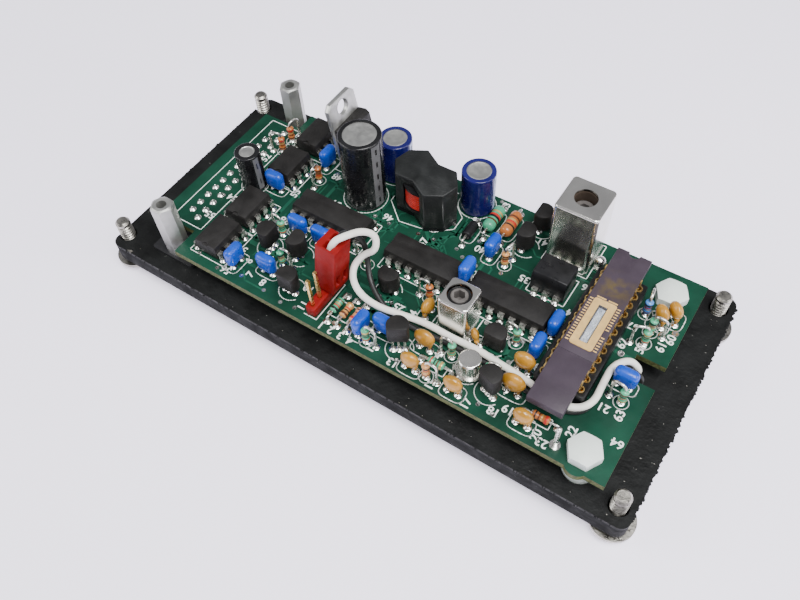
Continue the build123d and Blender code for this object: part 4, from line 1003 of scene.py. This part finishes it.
def paint_chips():
    """Small flakes of bare metal where the plate's paint has chipped."""
    low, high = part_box("base_plate")
    draw = random.Random(3)
    work = bmesh.new()
    places = [(low.x + 6 * MM, low.y + 0.3 * MM)]
    places += [(draw.uniform(low.x + 6 * MM, high.x - 4 * MM),
                low.y + draw.uniform(0.3, 2.6) * MM) for _ in range(16)]
    places += [(high.x - draw.uniform(0.4, 5) * MM, draw.uniform(low.y + 4 * MM,
                                                                 high.y - 4 * MM)) for _ in range(16)]
    gasket_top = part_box("gasket_sheet")[1].z
    for index, (x, y) in enumerate(places):
        size = 1.0 if index == 0 else draw.uniform(0.12, 0.3)
        ring = []
        for angle in [math.tau * i / 9 for i in range(9)]:
            dx = size * MM * draw.uniform(0.4, 1) * math.cos(angle)
            dy = 0.6 * size * MM * draw.uniform(0.3, 1) * math.sin(angle)
            ring.append(work.verts.new((x + dx, y + dy, gasket_top + 0.03 * MM)))
        work.faces.new(ring)
    add_piece("paint_chips", work, "root", "steel", "zinc", keep_normals=True)


# Routes of the leads from inside the plug to the wiring under the right end, as the CAD tubes run.
WHITE_ROUTE = [
    (42.5, -17.7, 12.6), (43.2, -16.9, 17.2), (45.6, -14.3, 18.3), (46.9, -11.0, 17.2), (49.2, -9.4, 15.6),
    (49.9, -10.9, 12.6), (47.3, -11.7, 10.6), (45.9, -13.9, 8.4), (47.3, -16.6, 7.0), (50.6, -18.3, 6.0),
    (55.0, -18.4, 5.0), (59.5, -16.5, 3.4), (64.8, -15.1, 2.4), (70.8, -15.2, 2.0), (76.6, -14.9, 2.1),
    (82.4, -15.5, 2.1), (87.9, -15.8, 2.0), (93.2, -17.0, 2.1), (98.6, -17.4, 2.3), (102.0, -14.6, 2.8),
    (101.7, -8.9, 2.7), (101.6, -4.4, 2.6), (103.9, -1.2, 2.4), (106.2, -0.7, 0.2), (106.2, -0.6, -2.3),
    (103.9, -0.9, -2.4),
]
BLACK_ROUTE = [
    (42.6, -15.0, 12.4), (43.1, -14.3, 16.8), (44.6, -11.9, 16.6), (46.2, -10.3, 13.0), (46.7, -10.0, 8.6),
    (48.4, -12.4, 5.0), (51.9, -15.0, 3.2), (56.8, -16.7, 1.5), (62.6, -16.7, 0.8), (68.6, -16.1, 0.7),
    (74.6, -15.9, 0.7), (80.6, -15.9, 0.7), (86.0, -16.8, 0.7), (91.2, -17.6, 0.7), (96.6, -17.9, 0.7),
    (101.2, -15.9, 0.7), (101.7, -10.6, 0.8), (101.5, -5.2, 0.7), (102.6, -2.7, 0.8), (105.2, -2.5, 1.2),
    (107.6, -2.4, 0.1), (107.6, -2.6, -2.2), (107.5, -4.9, -2.3),
]


def insulated_lead(name, node, route, diameter, material):
    """An insulated lead: a tube swept along one smooth spline that curves between the plug and the board."""
    curve = bpy.data.curves.new(name, "CURVE")
    curve.dimensions = "3D"
    spline = curve.splines.new("NURBS")
    spline.points.add(len(route) - 1)
    for point, place in zip(spline.points, route):
        point.co = (*at(*place), 1.0)
    spline.order_u = 3
    spline.use_endpoint_u = True
    spline.resolution_u = 10
    bare = bpy.data.objects.new(name + "_line", curve)
    bpy.context.scene.collection.objects.link(bare)
    bpy.context.view_layer.update()
    line = bpy.data.meshes.new_from_object(bare)
    bpy.data.meshes.remove(line)
    curve.bevel_depth = diameter * MM / 2
    curve.bevel_resolution = 5
    curve.use_fill_caps = True
    bpy.context.view_layer.update()
    mesh = bpy.data.meshes.new_from_object(bare)
    mesh.name = name
    bpy.data.objects.remove(bare)
    piece = bpy.data.objects.new(name, mesh)
    bpy.context.scene.collection.objects.link(piece)
    dress(piece, material)
    mesh.shade_smooth()
    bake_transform(piece)
    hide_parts(node)


def leads():
    insulated_lead("white_lead_insulation", "white_lead", WHITE_ROUTE, 1.5,
                   "white_insulation")
    insulated_lead("black_lead_insulation", "black_lead", BLACK_ROUTE, 1.2,
                   "black_insulation")


def stage_and_camera():
    floor_work = bmesh.new()
    bmesh.ops.create_grid(floor_work, x_segments=2, y_segments=2, size=3.0)
    mesh = bpy.data.meshes.new("floor")
    floor_work.to_mesh(mesh)
    floor_work.free()
    floor = bpy.data.objects.new("floor", mesh)
    bpy.context.scene.collection.objects.link(floor)
    floor.data.materials.append(glowing_floor("pale_floor", (0.9, 0.86, 1.0)))
    world = bpy.data.worlds.new("studio")
    world.use_nodes = True
    world.node_tree.nodes["Background"].inputs["Color"].default_value = (0.93, 0.94, 1.0, 1)
    world.node_tree.nodes["Background"].inputs["Strength"].default_value = 0.34
    bpy.context.scene.world = world
    for name, place, size, power in (("key", (0.22, -0.12, 0.6), 0.35, 7.0),
                                     ("fill", (0.55, 0.1, 0.3), 0.3, 2.2),
                                     ("side", (-0.5, -0.35, 0.4), 0.4, 2.6)):
        light = bpy.data.lights.new(name, "AREA")
        light.size = size
        light.energy = power
        lamp = bpy.data.objects.new(name, light)
        lamp.location = place
        lamp.rotation_euler = (Vector((0, 0, 0.01)) - Vector(place)).to_track_quat("-Z", "Y").to_euler()
        bpy.context.scene.collection.objects.link(lamp)
    camera = bpy.data.cameras.new("camera")
    camera.sensor_width = 36.0
    camera.lens = 34.785
    camera.clip_start = 0.005
    viewer = bpy.data.objects.new("camera", camera)
    viewer.location = at(113.28, -89.61, 137.33)
    viewer.rotation_euler = Euler([math.radians(a) for a in (35.139, 2.342, 33.110)])
    bpy.context.scene.collection.objects.link(viewer)
    bpy.context.scene.camera = viewer


# ---------------------------------------------------------------- operators and panel


def prepare_finishes():
    mix_palette()
    plain_finishes()


class SENSOR_BOARD_OT_stage(bpy.types.Operator):
    """Makes the floor, the lights and the camera"""

    bl_idname = "sensor_board.stage"
    bl_label = "Stage and camera"

    def execute(self, context):
        stage_and_camera()
        return {"FINISHED"}


class SENSOR_BOARD_OT_finishes(bpy.types.Operator):
    """Gives the CAD nodes their materials"""

    bl_idname = "sensor_board.finishes"
    bl_label = "Finishes"

    def execute(self, context):
        prepare_finishes()
        return {"FINISHED"}


class SENSOR_BOARD_OT_leads(bpy.types.Operator):
    """Makes the white and the black lead"""

    bl_idname = "sensor_board.leads"
    bl_label = "Insulated leads"

    def execute(self, context):
        leads()
        return {"FINISHED"}


class SENSOR_BOARD_OT_eased(bpy.types.Operator):
    """Eases the edges of the moulded parts"""

    bl_idname = "sensor_board.eased"
    bl_label = "Eased packages"

    def execute(self, context):
        eased_packages()
        return {"FINISHED"}


class SENSOR_BOARD_OT_screws(bpy.types.Operator):
    """Makes the corner screws with threads"""

    bl_idname = "sensor_board.screws"
    bl_label = "Threaded studs"

    def execute(self, context):
        corner_screws()
        return {"FINISHED"}


class SENSOR_BOARD_OT_solder(bpy.types.Operator):
    """Puts solder at the foot of every lead"""

    bl_idname = "sensor_board.solder"
    bl_label = "Solder joints"

    def execute(self, context):
        solder_joints()
        return {"FINISHED"}


class SENSOR_BOARD_OT_pads(bpy.types.Operator):
    """Adds plated holes between the traces"""

    bl_idname = "sensor_board.pads"
    bl_label = "Plated holes"

    def execute(self, context):
        stray_pads()
        return {"FINISHED"}


class SENSOR_BOARD_OT_traces(bpy.types.Operator):
    """Adds the traces under the lacquer"""

    bl_idname = "sensor_board.traces"
    bl_label = "Copper traces"

    def execute(self, context):
        copper_traces()
        return {"FINISHED"}


class SENSOR_BOARD_OT_outlines(bpy.types.Operator):
    """Prints the white outlines"""

    bl_idname = "sensor_board.outlines"
    bl_label = "Printed outlines"

    def execute(self, context):
        printed_outlines()
        return {"FINISHED"}


class SENSOR_BOARD_OT_numbers(bpy.types.Operator):
    """Prints the reference numbers"""

    bl_idname = "sensor_board.numbers"
    bl_label = "Printed numbers"

    def execute(self, context):
        printed_numbers()
        return {"FINISHED"}


class SENSOR_BOARD_OT_resistors(bpy.types.Operator):
    """Makes the banded resistors"""

    bl_idname = "sensor_board.resistors"
    bl_label = "Resistors"

    def execute(self, context):
        resistors()
        return {"FINISHED"}


class SENSOR_BOARD_OT_chokes(bpy.types.Operator):
    """Makes the banded chokes"""

    bl_idname = "sensor_board.chokes"
    bl_label = "Chokes"

    def execute(self, context):
        chokes()
        return {"FINISHED"}


class SENSOR_BOARD_OT_chips(bpy.types.Operator):
    """Makes the blue dipped capacitors"""

    bl_idname = "sensor_board.chips"
    bl_label = "Dipped capacitors"

    def execute(self, context):
        chip_capacitors()
        return {"FINISHED"}


class SENSOR_BOARD_OT_beads(bpy.types.Operator):
    """Makes the amber bead capacitors"""

    bl_idname = "sensor_board.beads"
    bl_label = "Bead capacitors"

    def execute(self, context):
        bead_capacitors()
        return {"FINISHED"}


class SENSOR_BOARD_OT_bands(bpy.types.Operator):
    """Adds bands and tops to the upright capacitors"""

    bl_idname = "sensor_board.bands"
    bl_label = "Polarity bands"

    def execute(self, context):
        capacitor_bands()
        return {"FINISHED"}


class SENSOR_BOARD_OT_fingers(bpy.types.Operator):
    """Adds the plated fingers on the sensor"""

    bl_idname = "sensor_board.fingers"
    bl_label = "Bond fingers"

    def execute(self, context):
        bond_fingers()
        return {"FINISHED"}


class SENSOR_BOARD_OT_turns(bpy.types.Operator):
    """Winds the red wire in the inductor"""

    bl_idname = "sensor_board.turns"
    bl_label = "Inductor winding"

    def execute(self, context):
        inductor_turns()
        return {"FINISHED"}


class SENSOR_BOARD_OT_crumbs(bpy.types.Operator):
    """Adds the torn rim of the gasket"""

    bl_idname = "sensor_board.crumbs"
    bl_label = "Gasket crumbs"

    def execute(self, context):
        gasket_crumbs()
        return {"FINISHED"}


class SENSOR_BOARD_OT_paint(bpy.types.Operator):
    """Adds the chips in the plate's paint"""

    bl_idname = "sensor_board.paint"
    bl_label = "Paint chips"

    def execute(self, context):
        paint_chips()
        return {"FINISHED"}


OPERATORS = [
    SENSOR_BOARD_OT_stage,
    SENSOR_BOARD_OT_finishes,
    SENSOR_BOARD_OT_leads,
    SENSOR_BOARD_OT_eased,
    SENSOR_BOARD_OT_screws,
    SENSOR_BOARD_OT_solder,
    SENSOR_BOARD_OT_pads,
    SENSOR_BOARD_OT_traces,
    SENSOR_BOARD_OT_outlines,
    SENSOR_BOARD_OT_numbers,
    SENSOR_BOARD_OT_resistors,
    SENSOR_BOARD_OT_chokes,
    SENSOR_BOARD_OT_chips,
    SENSOR_BOARD_OT_beads,
    SENSOR_BOARD_OT_bands,
    SENSOR_BOARD_OT_fingers,
    SENSOR_BOARD_OT_turns,
    SENSOR_BOARD_OT_crumbs,
    SENSOR_BOARD_OT_paint,
]


class SENSOR_BOARD_PT_panel(bpy.types.Panel):
    """Lists the steps that build the board's fine detail."""

    bl_label = "Sensor board"
    bl_space_type = "VIEW_3D"
    bl_region_type = "UI"
    bl_category = "Sensor board"

    def draw(self, context):
        for group in (context.scene.sensor_board_sizes, context.scene.sensor_board_colours):
            for name in group.__annotations__:
                self.layout.prop(group, name)
        for operator in OPERATORS:
            self.layout.operator(operator.bl_idname)


CLASSES = [BoardSizes, BoardColours, *OPERATORS, SENSOR_BOARD_PT_panel]


def register():
    for item in CLASSES:
        bpy.utils.register_class(item)
    bpy.types.Scene.sensor_board_sizes = PointerProperty(type=BoardSizes)
    bpy.types.Scene.sensor_board_colours = PointerProperty(type=BoardColours)


def unregister():
    del bpy.types.Scene.sensor_board_colours
    del bpy.types.Scene.sensor_board_sizes
    for item in reversed(CLASSES):
        bpy.utils.unregister_class(item)


def main():
    register()
    for operator in OPERATORS:
        getattr(bpy.ops.sensor_board, operator.bl_idname.split(".")[1])()


if __name__ == "__main__":
    main()
